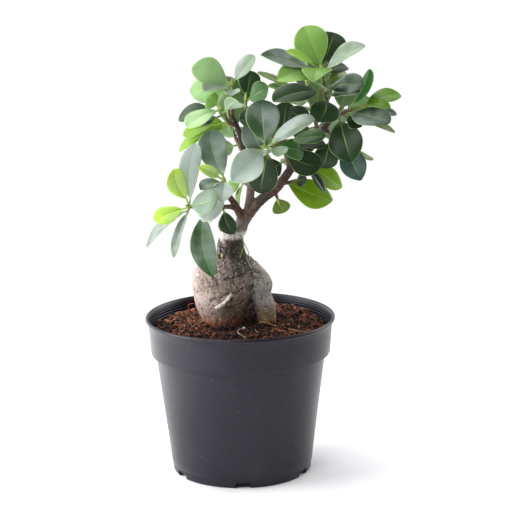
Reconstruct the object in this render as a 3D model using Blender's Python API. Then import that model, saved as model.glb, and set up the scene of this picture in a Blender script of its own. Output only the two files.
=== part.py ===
"""Ginseng ficus in its nursery pot.

A grafted ficus with a swollen two-legged root stands in potting soil that fills
a tapered plastic pot. Its leafy stems are separate pieces that sit on short
spurs of the wood. The origin is the centre of the pot's flat underside, +Z is
up and -Y is the front. Sizes below are in millimetres.
"""
import math

import bpy
import bmesh
import numpy as np

MM = 0.001

# Fit between pieces that touch
GAP = 0.3

# Pot
POT_HEIGHT = 100.0
RIM_RADIUS = 60.0
RIM_WIDTH = 2.0
RIM_DEPTH = 2.5
BAND_TOP_RADIUS = 58.3
BAND_FOOT_RADIUS = 56.7
BAND_FOOT = 77.0
BODY_TOP_RADIUS = 53.7
FOOT_LINE = 6.0
FOOT_LINE_RADIUS = 44.85
BASE_RADIUS = 44.1
WALL = 1.1
FLOOR = 1.6
POT_SIDES = 40
NOTCHES = 6
NOTCH_WIDTH = 9.0
NOTCH_HEIGHT = 3.0
NOTCH_TURN = math.radians(-89.0)

# Soil
SOIL_LEVEL = 94.0
SOIL_RISE_AT_WALL = 1.2
SOIL_LUMP = 1.1
SOIL_SIDES = 40
SOIL_RINGS = (9.0, 21.0, 33.0, 44.0)
SOIL_SLACK = 0.55

# Leaves
BLADE = 0.7
PETIOLE_RADIUS = 0.75
TWIG_SIDES = 6
OUTLINE = ((-1.0, 0.1), (0.0, 0.1), (0.24, 0.7), (0.56, 1.0), (0.86, 0.72), (1.0, 0.0))
FRONT = np.array((0.0, -0.97, 0.23))
BACK = np.array((0.0, 0.9, 0.44))
UP = np.array((0.0, 0.0, 1.0))
END_ON = 0.8

POT_COLOUR = (0.045, 0.043, 0.05, 1.0)
SOIL_COLOUR = (0.075, 0.03, 0.018, 1.0)
BARK_COLOUR = (0.35, 0.27, 0.22, 1.0)
LEAF_COLOUR = (0.05, 0.13, 0.035, 1.0)


def clear_scene():
    """Take out whatever the file holds."""
    for thing in list(bpy.data.objects):
        bpy.data.objects.remove(thing, do_unlink=True)


def material(name, colour, roughness):
    made = bpy.data.materials.new(name)
    made.use_nodes = True
    shader = made.node_tree.nodes["Principled BSDF"]
    shader.inputs["Base Color"].default_value = colour
    shader.inputs["Roughness"].default_value = roughness
    shader.inputs["Metallic"].default_value = 0.0
    return made


def solid(name, points, faces, finish=None):
    """One mesh object from points in millimetres, with its normals turned out."""
    mesh = bpy.data.meshes.new(name)
    mesh.from_pydata([tuple(float(v) * MM for v in p) for p in points], [], faces)
    work = bmesh.new()
    work.from_mesh(mesh)
    bmesh.ops.recalc_face_normals(work, faces=work.faces)
    work.to_mesh(mesh)
    work.free()
    thing = bpy.data.objects.new(name, mesh)
    bpy.context.scene.collection.objects.link(thing)
    if finish:
        mesh.materials.append(finish)
    return thing


def apply_modifiers(thing):
    """Replace the object's mesh by its evaluated one."""
    graph = bpy.context.evaluated_depsgraph_get()
    mesh = bpy.data.meshes.new_from_object(thing.evaluated_get(graph))
    thing.modifiers.clear()
    thing.data = mesh


def fuse(thing, others):
    """Join closed shapes into one body by a Boolean union on a collection."""
    group = bpy.data.collections.new(thing.name + "_parts")
    for other in others:
        group.objects.link(other)
    union = thing.modifiers.new("fuse", "BOOLEAN")
    union.operation = "UNION"
    union.operand_type = "COLLECTION"
    union.collection = group
    union.solver = "EXACT"
    apply_modifiers(thing)
    for other in others:
        bpy.data.objects.remove(other, do_unlink=True)
    bpy.data.collections.remove(group)
    return thing


def turned(name, profile, sides, finish=None):
    """Turn a closed (radius, height) profile round the Z axis."""
    angles = [2 * math.pi * i / sides for i in range(sides)]
    points = [(r * math.cos(a), r * math.sin(a), z) for a in angles for r, z in profile]
    rows = len(profile)
    faces = []
    for i in range(sides):
        here, there = i * rows, (i + 1) % sides * rows
        for j in range(rows - 1):
            faces.append((here + j, there + j, there + j + 1, here + j + 1))
    faces.append([i * rows for i in range(sides)])
    faces.append([i * rows + rows - 1 for i in range(sides)])
    return solid(name, points, faces, finish)


def make_pot():
    """Thin tapered wall with a stepped band, a beaded rim and a notched foot."""
    step = BAND_FOOT - 0.6
    profile = (
        (BASE_RADIUS - 0.9, 0.0),
        (BASE_RADIUS, 0.8),
        (FOOT_LINE_RADIUS - 0.3, FOOT_LINE - 0.2),
        (FOOT_LINE_RADIUS, FOOT_LINE + 0.2),
        (BODY_TOP_RADIUS, step),
        (BAND_FOOT_RADIUS - 0.9, step),
        (BAND_FOOT_RADIUS, BAND_FOOT + 1.2),
        (BAND_TOP_RADIUS, POT_HEIGHT - RIM_DEPTH - 0.4),
        (RIM_RADIUS - 0.4, POT_HEIGHT - RIM_DEPTH),
        (RIM_RADIUS, POT_HEIGHT - RIM_DEPTH / 2),
        (RIM_RADIUS - 0.6, POT_HEIGHT),
        (RIM_RADIUS - RIM_WIDTH, POT_HEIGHT),
        (BAND_TOP_RADIUS - WALL, POT_HEIGHT - RIM_DEPTH),
        (BAND_FOOT_RADIUS - WALL, BAND_FOOT + 1.5),
        (BODY_TOP_RADIUS - WALL, BAND_FOOT - 1.8),
        (BASE_RADIUS - WALL, FLOOR),
    )
    pot = turned("pot", profile, POT_SIDES, material("pot_plastic", POT_COLOUR, 0.5))
    pot.data.shade_smooth()
    pot.data.set_sharp_from_angle(angle=math.radians(30))
    cutters = []
    for i in range(NOTCHES):
        turn = NOTCH_TURN + 2 * math.pi * i / NOTCHES
        out = np.array((math.cos(turn), math.sin(turn), 0.0))
        side = np.array((-math.sin(turn), math.cos(turn), 0.0))
        middle = out * (BASE_RADIUS + 0.2)
        corners = [
            middle + out * (2.0 * a) + side * (NOTCH_WIDTH / 2 * b) + np.array((0, 0, c))
            for c in (-1.0, NOTCH_HEIGHT) for a, b in ((-1, -1), (1, -1), (1, 1), (-1, 1))
        ]
        box = ((0, 1, 2, 3), (4, 5, 6, 7), (0, 1, 5, 4), (1, 2, 6, 5), (2, 3, 7, 6), (3, 0, 4, 7))
        cutters.append(solid("notch_cutter_%d" % i, corners, box))
    group = bpy.data.collections.new("notch_cutters")
    for cutter in cutters:
        group.objects.link(cutter)
    cut = pot.modifiers.new("notches", "BOOLEAN")
    cut.operation = "DIFFERENCE"
    cut.operand_type = "COLLECTION"
    cut.collection = group
    cut.solver = "EXACT"
    apply_modifiers(pot)
    for cutter in cutters:
        bpy.data.objects.remove(cutter, do_unlink=True)
    bpy.data.collections.remove(group)
    return pot


def soil_height(x, y):
    """Height of the soil's surface: a shallow dish with lumps, highest at the back right."""
    lumps = math.sin(0.31 * x + 1.3) * math.cos(0.27 * y - 0.4)
    lumps += 0.6 * math.sin(0.55 * y + 0.23 * x) + 0.4 * math.cos(0.8 * x - 0.62 * y)
    mound = 1.5 * math.exp(-((x - 33) ** 2 + (y - 28) ** 2) / 260.0)
    dish = SOIL_RISE_AT_WALL * ((x * x + y * y) / 52.0 ** 2) ** 2
    return SOIL_LEVEL + SOIL_LUMP * 0.5 * lumps + mound + dish


def make_soil(trunk_holes):
    """Potting soil that fills the pot, with a plain hole for each leg of the root."""
    low, shelf = FLOOR + GAP, BAND_FOOT - 1.2
    angles = [2 * math.pi * i / SOIL_SIDES for i in range(SOIL_SIDES)]
    top_radius = BAND_TOP_RADIUS - WALL - SOIL_SLACK
    walls = ((BASE_RADIUS - WALL - SOIL_SLACK, low), (BODY_TOP_RADIUS - WALL - SOIL_SLACK, shelf),
             (BAND_FOOT_RADIUS - WALL - SOIL_SLACK, BAND_FOOT + 2.2))
    points, rows = [], []
    for radius, z in walls:
        rows.append(range(len(points), len(points) + SOIL_SIDES))
        points += [(radius * math.cos(a), radius * math.sin(a), z) for a in angles]
    for radius in (top_radius,) + SOIL_RINGS[::-1]:
        rows.append(range(len(points), len(points) + SOIL_SIDES))
        for a in angles:
            x, y = radius * math.cos(a), radius * math.sin(a)
            points.append((x, y, soil_height(x, y)))
    faces = [list(rows[0]), list(rows[-1])]
    for below, above in zip(rows, rows[1:]):
        for i in range(SOIL_SIDES):
            j = (i + 1) % SOIL_SIDES
            faces.append((below[i], below[j], above[j], above[i]))
    soil = solid("soil", points, faces, material("potting_soil", SOIL_COLOUR, 0.95))
    tidy = bmesh.new()
    tidy.from_mesh(soil.data)
    bmesh.ops.triangulate(tidy, faces=tidy.faces)
    tidy.to_mesh(soil.data)
    tidy.free()
    for hole in trunk_holes:
        cut = soil.modifiers.new("hole", "BOOLEAN")
        cut.operation = "DIFFERENCE"
        cut.object = hole
        cut.solver = "EXACT"
    apply_modifiers(soil)
    for hole in trunk_holes:
        bpy.data.objects.remove(hole, do_unlink=True)
    return soil


def smooth_path(points, step):
    """Points every `step` millimetres along a Catmull-Rom curve through the given ones."""
    p = np.array(points, float)
    p = np.vstack((2 * p[0] - p[1], p, 2 * p[-1] - p[-2]))
    dense = []
    for a, b, c, d in zip(p, p[1:], p[2:], p[3:]):
        for t in np.linspace(0, 1, 20, endpoint=False):
            dense.append(0.5 * (2 * b + (c - a) * t + (2 * a - 5 * b + 4 * c - d) * t ** 2
                                + (3 * b - a - 3 * c + d) * t ** 3))
    dense = np.array(dense + [p[-2]])
    run = np.concatenate(([0.0], np.cumsum(np.linalg.norm(np.diff(dense, axis=0), axis=1))))
    count = max(2, int(round(run[-1] / step)) + 1)
    want = np.linspace(0, run[-1], count)
    return np.column_stack([np.interp(want, run, dense[:, k]) for k in range(3)])


def along(path, fraction):
    """The point at a fraction of a path's length."""
    run = np.concatenate(([0.0], np.cumsum(np.linalg.norm(np.diff(path, axis=0), axis=1))))
    return np.array([np.interp(fraction * run[-1], run, path[:, k]) for k in range(3)])


def tube(name, path, radii, sides, squash=1.0, ends=(None, None)):
    """A closed tube along a path; `squash` is its depth over its width, `ends` may turn its caps."""
    path = np.asarray(path, float)
    ahead = np.gradient(path, axis=0)
    for row, way in zip((0, -1), ends):
        if way is not None:
            ahead[row] = way
    ahead /= np.linalg.norm(ahead, axis=1)[:, None]
    side = np.cross(ahead[0], (0.0, 1.0, 0.0))
    if np.linalg.norm(side) < 0.2:
        side = np.cross(ahead[0], (1.0, 0.0, 0.0))
    points = []
    for centre, way, radius in zip(path, ahead, radii):
        side = side - way * side.dot(way)
        side /= np.linalg.norm(side)
        deep = np.cross(way, side)
        for i in range(sides):
            a = 2 * math.pi * i / sides
            points.append(centre + radius * (side * math.cos(a) + squash * deep * math.sin(a)))
    faces = [list(range(sides)), list(range(len(points) - sides, len(points)))]
    for row in range(len(path) - 1):
        for i in range(sides):
            j = (i + 1) % sides
            a, b = row * sides, (row + 1) * sides
            faces.append((a + i, a + j, b + j, b + i))
    return solid(name, points, faces)


# Swollen root. Each row is (x, y, z, radius across, depth over width).
BULB = (
    (-9, 1, 76, 7, 0.9), (-10, 1, 84, 10, 0.9), (-10.7, 1, 92, 11.8, 0.9), (-11.1, 1, 97, 13.4, 0.9),
    (-11.2, 1, 103, 15.2, 0.88), (-10.8, 1.5, 108.5, 17.4, 0.86), (-10.3, 2, 114, 18.9, 0.84),
    (-10.6, 2, 121, 19.2, 0.84), (-10.6, 2, 128, 18.6, 0.83), (-9.5, 2, 132.5, 16, 0.88),
    (-6.4, 2, 136.8, 11, 0.95), (-5.7, 2, 141, 8.4, 1.0), (-6.0, 2, 146, 7.2, 1.0), (-6.1, 2, 149.5, 6.6, 1.0),
)
LOBE = (
    (0.5, 7, 139, 3, 1.0), (2.2, 7, 135.5, 5, 1.0), (5, 6, 131.5, 7.4, 1.0), (8.2, 5, 126.5, 9.4, 1.0),
    (10.4, 4.5, 121, 10.2, 1.0), (11.2, 4, 116.5, 9.1, 1.0), (12.6, 3.2, 113, 7.3, 1.0),
    (14.8, 2.4, 108.5, 6.9, 1.0), (16.2, 1.4, 102, 6.4, 1.0), (17.2, 0.4, 97, 5.7, 1.0),
    (17.8, 0, 92, 4.8, 1.0), (18, 0, 80, 3, 1.0),
)
ROOT_VOXEL = 3.5
ROOT_SIDES = 20
ROOT_CLEARANCE = 1.2
HOLE_RISE = 9.0
HOLE_SIDES = 16
CUT_ROOT = ((-6, -12, 114), (-10.5, -17.5, 109.5), (-17, -18.5, 104.5))
CUT_ROOT_RADIUS = 1.3

# Grafted wood. Each entry is (points, radius at the start, radius at the end).
WOOD = {
    "stem": (((-5.4, 2, 144), (-3.6, 2, 150), (0.2, 2, 155), (2.2, 2, 160), (4, 2, 163.5)), 6.2, 3.7),
    "old_stub": (((-6.5, 2, 146), (-9.4, 2, 152), (-10.6, 2, 161)), 4.2, 2.4),
    "left_branch": (((3.2, 2, 160.5), (-1.6, 2, 169.6), (-5.9, 0, 177.2)), 3.2, 1.7),
    "main_branch": (((2.6, 2, 159.5), (10.3, 2, 170), (17.3, 2, 176.3), (23.8, 3, 180.8), (30.6, 4, 189.4),
                     (37, 5, 197.8), (44.5, 5, 204.8), (48, 5, 208.6), (54.6, 6, 219), (58.3, 6, 224.6)),
                    3.6, 1.7),
    "centre_branch": (((5.6, 2, 165), (7.3, 2.5, 176), (7.8, 3.5, 184.6), (6.2, 6, 195), (3, 8, 206),
                       (0.9, 8, 216.5), (-3, 5, 226)), 2.9, 1.3),
}

# Leafy stems. "wood" runs from inside the branch out to the tip of the stem and "spur" is how
# much of it belongs to the branch; "thick" gives the radius at the two ends. Each leaf is
# (place along the stem, tip, width, turn, fold, arch, sway, stalk). A blade faces the way that
# its stem names and is turned about its midrib by `turn` degrees; `fold` lifts its halves by
# that many degrees, `arch` lifts its middle and `sway` moves it sideways.
SHOOTS = {
    "shoot_top": {
        "wood": ((58.3, 6, 224.6), (55.8, 6, 233.2), (54, 6, 243), (52.7, 5, 254.3)), "thick": (1.6, 1.1),
        "faces": FRONT, "spur": 2.4,
        "leaves": (
            (1.00, (42, 10, 281), 22, 8, 8, 1.5, 0, 4),
            (1.00, (61, 20, 276), 20, 0, 10, 1, 0, 4),
            (0.97, (79, 0, 270), 17, -50, 22, 1, 0, 4),
            (1.00, (31, -4, 268), 9, 50, 15, 1, 0, 6),
            (0.94, (15, -6, 266), 18, 55, 10, 1, 0, 8),
            (0.88, (25, -16, 252), 17, 40, 15, 3, 0, 8),
            (0.95, (47, -21, 251), 19, 0, 10, 5, 0, 3),
            (0.90, (68, 20, 255), 14, -40, 10, 1, 0, 4),
            (0.78, (72, 27, 246), 14, -30, 10, 2, 0, 5),
            (0.52, (57, -20, 246), 22, 0, 27, 1, 0, 3),
            (0.60, (78, -8, 247), 18, -42, 14, 1, 0, 4),
            (0.42, (75, -13, 242), 15, -62, 10, 1, 0, 4),
            (0.56, (22, -14, 238), 21, 48, 12, 2, 0, 5),
            (0.36, (50, -16, 226), 19, 0, 8, 2, 2, 3),
        ),
    },
    "shoot_right": {
        "wood": ((57, 6, 222), (64.5, 7, 226.5), (71.3, 7, 229), (77, 6, 231)), "thick": (1.4, 0.9),
        "faces": FRONT, "spur": 4.4,
        "leaves": (
            (0.55, (83, 6, 254), 16, 60, 14, -1, -3, 4),
            (1.00, (102, 14, 237), 17, -52, 12, 2, 0, 4),
            (1.00, (94, -6, 232), 10, -50, 12, 3, 0, 3),
            (0.95, (99, 6, 226), 15, -62, 10, 1, 0, 4),
            (0.43, (93, -14, 224), 21, -44, 8, 1, 0, 4),
            (0.32, (98, 2, 216), 12, -62, 8, 1, 0, 5),
            (0.25, (77, 2, 219), 15, -40, 8, 1, 0, 4),
            (0.12, (70, -8, 199), 22, 8, 8, 1, 0, 4),
        ),
    },
    "shoot_right_low": {
        "wood": ((54.2, 6, 217.5), (59, 9, 213), (66, 11, 208)), "thick": (1.3, 0.9),
        "faces": FRONT, "spur": 3.4,
        "leaves": (
            (1.00, (77, 8, 184), 17, 10, 10, 1, 0, 3),
            (0.92, (85, 14, 196), 11, 72, 10, 1, 0, 3),
            (0.28, (53, 8, 192), 16, 0, 8, 1, 0, 5),
            (0.75, (63, 17, 195), 13, 0, 8, 1, 0, 3),
        ),
    },
    "shoot_front": {
        "wood": ((44.5, 5, 204.8), (37, -1, 209), (28.7, -9, 212.6), (21, -16, 210), (16.8, -20, 211)),
        "thick": (1.5, 1.0), "faces": FRONT, "spur": 3.8,
        "leaves": (
            (1.00, (15, -13, 239), 21, 0, 6, -1, 0, 3),
            (0.97, (47, -28, 229), 17, -52, 14, 2, 0, 4),
            (1.00, (-3.5, -34, 192.5), 24, 14, 26, 2, 0, 3),
            (0.90, (13, -14, 181), 19, 0, 8, 1, 0, 4),
            (0.95, (30, -28, 209), 11, -40, 20, -2, 0, 3),
            (0.80, (41, -9, 206), 15, -25, 8, 1, 0, 4),
            (0.68, (51, -4, 196), 18, -25, 8, -2, -3, 5),
            (0.46, (54, -14, 216), 15, -48, 10, 1, 0, 4),
            (0.36, (54, -7, 211), 12, -50, 8, -1, 0, 4),
        ),
    },
    "shoot_centre": {
        "wood": ((3, 8, 206), (4.5, 13, 214), (5, 14, 226), (5.5, 12, 236)), "thick": (1.2, 0.9),
        "faces": FRONT, "spur": 5.2,
        "leaves": (
            (0.66, (14, 1, 205), 17, 0, 8, 1, 0, 4),
            (1.00, (9, 16, 253), 14, 0, 8, 1, 0, 2),
            (0.95, (15, 24, 246), 15, -10, 8, 1, 0, 2),
            (0.95, (19, 2, 244), 14, -20, 10, 1, 0, 3),
            (0.90, (8, 0, 221), 12, 10, 8, 1, 0, 3),
            (0.80, (15, 6, 222), 15, 0, 8, 1, 0, 3),
        ),
    },
    "shoot_upper_left": {
        "wood": ((-3, 5, 226), (-3.1, 3, 235.7), (-3, 1, 243.4), (-2.9, 0, 247)), "thick": (1.2, 0.9),
        "faces": FRONT, "spur": 2.2,
        "leaves": (
            (1.00, (-27.5, -6, 258), 19, 20, 8, 1, -1.5, 3),
            (1.00, (11, 4, 264), 14, -42, 18, 0, 0, 3),
            (0.97, (-20, -16, 245), 14, 55, 14, 1, 0, 4),
            (0.68, (-29, 2, 244), 20, 28, 8, 1, 0, 5),
            (0.82, (-3, -18, 242), 12, 0, 28, 0, 0, 3),
            (1.00, (-14, 20, 250), 15, 10, 8, 1, 0, 4),
        ),
    },
    "shoot_left": {
        "wood": ((-0.2, 7.2, 219.5), (-5, 0, 223), (-8, -5, 229), (-10, -8, 233.5)), "thick": (1.2, 0.9),
        "faces": FRONT, "spur": 4.4,
        "leaves": (
            (0.95, (-36, -8, 226), 15, 48, 10, 4, 0, 5),
            (1.00, (-30, -24, 224), 16, 45, 12, 2, 0, 4),
            (0.80, (2, -24, 240), 12, -34, 12, 2, 0, 3),
            (0.70, (-25, -14, 224), 14, 60, 10, 1, 0, 5),
            (0.34, (-34, 0, 216), 12, 40, 8, 1, 0, 9),
            (0.16, (-25, 8, 219), 14, 15, 10, 1, 0, 4),
            (0.16, (-8, 2, 214), 10, 0, 8, 0, 0, 2),
            (1.00, (-18, -9, 240), 12, 15, 8, 1, 0, 3),
            (0.20, (-37, 6, 205), 9, 40, 8, 3, 0, 12),
        ),
    },
    "shoot_left_tall": {
        "wood": ((-5.9, 0, 177.2), (-7.6, -7, 184), (-8.6, -13, 189.6)), "thick": (1.5, 1.1),
        "faces": FRONT, "spur": 2.4,
        "leaves": (
            (1.00, (-17, -8, 220), 19, 8, 10, -1, 1.5, 3),
            (1.00, (-23, -24, 200), 8, 10, 25, 2, 0, 5),
            (0.94, (-23, -22, 186), 12, 48, 16, 1, 0, 3),
            (0.94, (-10, -30, 179), 15, 0, 24, 1, 0, 2),
            (0.70, (-21, -30, 167), 15, 20, 8, 1, 0, 4),
            (0.50, (-27, 11, 155.5), 13, 10, 8, 1, 0, 4),
        ),
    },
    "shoot_low_left": {
        "wood": ((-0.8, 2, 168.2), (-6.5, -2.5, 170.6), (-15, -7.5, 170.6), (-23.4, -14, 172), (-30, -24, 175.6)),
        "thick": (1.5, 0.9), "faces": FRONT, "spur": 6.2,
        "leaves": (
            (1.00, (-25, -20, 214), 14, 20, 8, -1, 2.5, 5),
            (1.00, (-38, -32, 200), 13, 15, 10, 0, 2.2, 6),
            (1.00, (-51, -34, 169), 13, 28, 10, 1, 0, 5),
            (1.00, (-12, -38, 184), 16, -22, 8, 1, -1.5, 2),
            (0.95, (-58, -24, 150), 13, 60, 12, 3, 0, 4),
            (1.00, (-40, -30, 145), 12, 58, 12, 1, 0, 5),
            (0.58, (-16, -26, 131), 16, 0, 10, 1, -3.5, 4),
            (0.16, (-3, -7, 154), 11, 0, 8, 1, -1.5, 3),
        ),
    },
    "shoot_under": {
        "wood": ((26.6, 3.3, 184.4), (30, 6.5, 183.4), (35, 10, 184)), "thick": (1.2, 0.9),
        "faces": FRONT, "spur": 4.3,
        "leaves": (
            (0.12, (60, 14, 171), 19, -20, 8, 1, -2, 1),
            (1.00, (42, 15, 180), 10, 0, 8, 0, 0, 2),
            (1.00, (42, 3, 186), 9, -10, 8, 0, 0, 2),
        ),
    },
    "shoot_under_right": {
        "wood": ((37, 5, 197.8), (41, 8.5, 195), (43.5, 10, 193)), "thick": (1.2, 0.9),
        "faces": FRONT, "spur": 3.8,
        "leaves": (
            (1.00, (66, 18, 178), 15, -25, 8, 1, 0, 3),
            (0.70, (54, 2, 177), 9, -50, 10, 1, 0, 3),
        ),
    },
    "sprig_olive": {
        "wood": ((22.5, 2.9, 179.8), (24.4, 1.4, 174.4)), "thick": (1.0, 0.9),
        "faces": FRONT, "spur": 4.2,
        "leaves": ((0.7, (28, 2, 165), 12, 0, 10, 1, 0, 0.5),),
    },
    "sprig_behind": {
        "wood": ((7.6, 3, 181.5), (4.5, 7.5, 183.2), (2.5, 11, 184)), "thick": (1.0, 0.9),
        "faces": FRONT, "spur": 4.4,
        "leaves": (
            (1.00, (-7, 13, 178), 9, 20, 8, 1, 0, 2),
            (0.80, (-1, 9, 169), 6, 55, 8, 1, 0, 2),
        ),
    },
    "shoot_back_top": {
        "wood": ((50.5, 5.4, 212.5), (49, 14, 220), (46, 22, 232), (44, 27, 243)), "thick": (1.4, 0.9),
        "faces": BACK, "spur": 4.2,
        "leaves": (
            (1.00, (58, 32, 262), 18, 0, 8, 2, 0, 4),
            (1.00, (36, 40, 262), 20, 0, 8, 2, 0, 4),
            (0.90, (64, 42, 244), 18, 0, 8, 2, 0, 4),
            (0.80, (44, 56, 246), 20, 0, 8, 3, 0, 4),
            (0.65, (24, 46, 234), 20, 0, 8, 2, 0, 4),
            (0.45, (50, 48, 222), 19, 0, 8, 2, 0, 4),
            (0.70, (13, 16, 252), 14, -78, 10, 1, 0, 8),
            (0.70, (19, 18, 243), 11, -80, 10, 1, 0, 12),
            (0.25, (32, 14, 228), 15, 180, 8, 1, 0, 3),
            (0.30, (53, 22, 247), 17, 0, 8, 1, 0, 4),
            (0.10, (33, 13, 215), 13, 180, 8, 1, 0, 4),
        ),
    },
    "shoot_back_left": {
        "wood": ((4.8, 6.8, 200), (1, 15, 206), (-4, 22, 216), (-6, 26, 226)), "thick": (1.4, 0.9),
        "faces": BACK, "spur": 5.8,
        "leaves": (
            (1.00, (-14, 34, 246), 18, 0, 8, 2, 0, 4),
            (1.00, (8, 38, 244), 19, 0, 8, 2, 0, 4),
            (0.80, (-4, 54, 228), 20, 0, 8, 3, 0, 4),
            (0.60, (-20, 42, 214), 18, 0, 8, 2, 0, 4),
            (0.45, (12, 44, 210), 18, 0, 8, 2, 0, 4),
            (0.50, (-4, 28, 238), 19, 0, 8, 2, 0, 4),
            (0.20, (-17, 22, 201), 16, 0, 8, 1, 0, 4),
        ),
    },
    "shoot_back_low": {
        "wood": ((32, 4.2, 191.5), (31, 13, 196), (28, 22, 204), (26, 27, 209)), "thick": (1.4, 0.9),
        "faces": BACK, "spur": 4.2,
        "leaves": (
            (1.00, (20, 36, 228), 18, 0, 8, 2, 0, 4),
            (0.90, (32, 54, 210), 20, 0, 8, 3, 0, 4),
            (0.55, (14, 46, 194), 18, 0, 8, 2, 0, 4),
            (0.35, (38, 42, 184), 18, 0, 8, 2, 0, 4),
            (0.55, (12, 22, 217), 19, 0, 8, 2, 0, 4),
            (0.85, (31, 17, 233), 19, 180, 8, 1, 0, 4),
            (0.25, (17, 17, 190), 16, 180, 8, 1, 0, 4),
        ),
    },
    "shoot_back_right": {
        "wood": ((55.6, 6, 220.4), (60, 15, 224), (66, 22, 228), (68, 26, 232)), "thick": (1.3, 0.9),
        "faces": BACK, "spur": 4.0,
        "leaves": (
            (1.00, (74, 36, 246), 16, 0, 8, 2, 0, 3),
            (0.95, (84, 38, 224), 17, 0, 8, 2, 0, 4),
            (0.70, (68, 50, 214), 18, 0, 8, 3, 0, 4),
            (0.35, (58, 36, 206), 17, 0, 8, 2, 0, 4),
            (0.50, (72, 24, 243), 18, 0, 8, 2, 0, 4),
        ),
    },
}


def blade_frame(start, tip, faces, turn):
    """Length, and the directions along, across and out of the upper face of a blade."""
    reach = np.array(tip, float) - start
    length = np.linalg.norm(reach)
    ahead = reach / length
    if abs(ahead.dot(FRONT)) > END_ON:
        faces = UP
    out = faces - ahead * faces.dot(ahead)
    out /= np.linalg.norm(out)
    t = math.radians(turn)
    out = out * math.cos(t) + np.cross(ahead, out) * math.sin(t)
    return length, ahead, np.cross(out, ahead), out


def blade(name, start, leaf, faces):
    """One leaf: a stalk that widens into a thin, folded and arched blade, as one closed shape."""
    _, tip, width, turn, fold, arch, sway, stalk = leaf
    length, ahead, across, out = blade_frame(start, tip, faces, turn)
    lift = math.radians(fold)
    points = []
    for t, share in OUTLINE:
        bow = 4 * t * (1 - t) if t > 0 else 0
        centre = start + ahead * (stalk + max(t, 0) * (length - stalk)) + out * (arch * bow)
        centre = centre + across * (sway * bow)
        half, thick = width / 2 * share, BLADE / 2
        if t < 0:
            centre = start
        if t <= 0:
            half = thick = PETIOLE_RADIUS
        rise = out * (half * math.sin(lift))
        rim = across * (half * math.cos(lift)) + rise
        far = -across * (half * math.cos(lift)) + rise
        for offset in (rim, 0 * rim, far) if share else (0 * rim,):
            points.append(centre + offset + out * thick)
            points.append(centre + offset - out * thick)
    quads = [(0, 1, 3, 2), (2, 3, 5, 4)]
    rows = len(OUTLINE) - 1
    for r in range(rows - 1):
        a, b = r * 6, (r + 1) * 6
        for k in (0, 2):
            quads.append((a + k, a + k + 2, b + k + 2, b + k))
            quads.append((a + k + 1, a + k + 3, b + k + 3, b + k + 1))
        quads.append((a, a + 1, b + 1, b))
        quads.append((a + 4, a + 5, b + 5, b + 4))
    last, end = (rows - 1) * 6, rows * 6
    for k in (0, 1, 2, 3):
        quads.append((last + k, last + k + 2, end + k % 2))
    quads += [(last, last + 1, end + 1, end), (last + 4, last + 5, end + 1, end)]
    return solid(name, points, split_alike(quads))


def split_alike(faces):
    """Cut each four-cornered face in two along the diagonal from its lowest corner number."""
    cut = []
    for face in faces:
        if len(face) == 3:
            cut.append(face)
            continue
        k = face.index(min(face))
        a, b, c, d = face[k:] + face[:k]
        cut += [(a, b, c), (a, c, d)]
    return cut


def stretch(path, begin, end, count):
    """`count` points evenly spaced between two distances along a path."""
    run = np.concatenate(([0.0], np.cumsum(np.linalg.norm(np.diff(path, axis=0), axis=1))))
    want = np.linspace(begin, run[-1] if end is None else end, count)
    return np.column_stack([np.interp(want, run, path[:, k]) for k in range(3)])


def joint_way(path, spur):
    """Direction of a stem where it meets its spur."""
    before, after = stretch(path, spur, spur + GAP, 2)
    return after - before


def make_shoot(name, shoot, finish):
    """A leafy stem: its twig from just beyond the spur, with its leaves fused on."""
    path = smooth_path(shoot["wood"], 1.0)
    count = max(3, len(path) // 6 + 1)
    stem = stretch(path, shoot["spur"] + GAP, None, count)
    first, last = shoot["thick"]
    twig = tube(name, stem, np.linspace(first, last, count), TWIG_SIDES,
                ends=(joint_way(path, shoot["spur"]), None))
    leaves = [
        blade("%s_leaf_%d" % (name, i), along(stem, leaf[0]), leaf, shoot["faces"])
        for i, leaf in enumerate(shoot["leaves"])
    ]
    fuse(twig, leaves)
    twig.data.materials.clear()
    twig.data.materials.append(finish)
    return twig


def mean_squash(rows):
    """Depth over width of a root, the mean of its rows."""
    return sum(row[4] for row in rows) / len(rows)


def make_trunk():
    """Swollen root, graft and branches, grown together as one body, with a spur for each stem."""
    trunk, lobe = (
        tube(name, [r[:3] for r in rows], [r[3] for r in rows], ROOT_SIDES, mean_squash(rows))
        for name, rows in (("trunk", BULB), ("lobe", LOBE))
    )
    fuse(trunk, [lobe])
    skin = trunk.modifiers.new("skin", "REMESH")
    skin.mode = "VOXEL"
    skin.voxel_size = ROOT_VOXEL * MM
    ease = trunk.modifiers.new("ease", "SMOOTH")
    ease.factor = 0.5
    ease.iterations = 4
    apply_modifiers(trunk)
    root = smooth_path(CUT_ROOT, 4.0)
    pieces = [tube("cut_root", root, [CUT_ROOT_RADIUS] * len(root), 6)]
    for name, (points, first, last) in WOOD.items():
        path = smooth_path(points, 5.5)
        pieces.append(tube(name, path, np.linspace(first, last, len(path)), 8))
    for name, shoot in SHOOTS.items():
        path = smooth_path(shoot["wood"], 1.0)
        pieces.append(tube(name + "_spur", stretch(path, 0.0, shoot["spur"], 3), [shoot["thick"][0]] * 3,
                           TWIG_SIDES, ends=(None, joint_way(path, shoot["spur"]))))
    fuse(trunk, pieces)
    trunk.data.materials.clear()
    trunk.data.materials.append(material("bark", BARK_COLOUR, 0.8))
    return trunk


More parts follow.
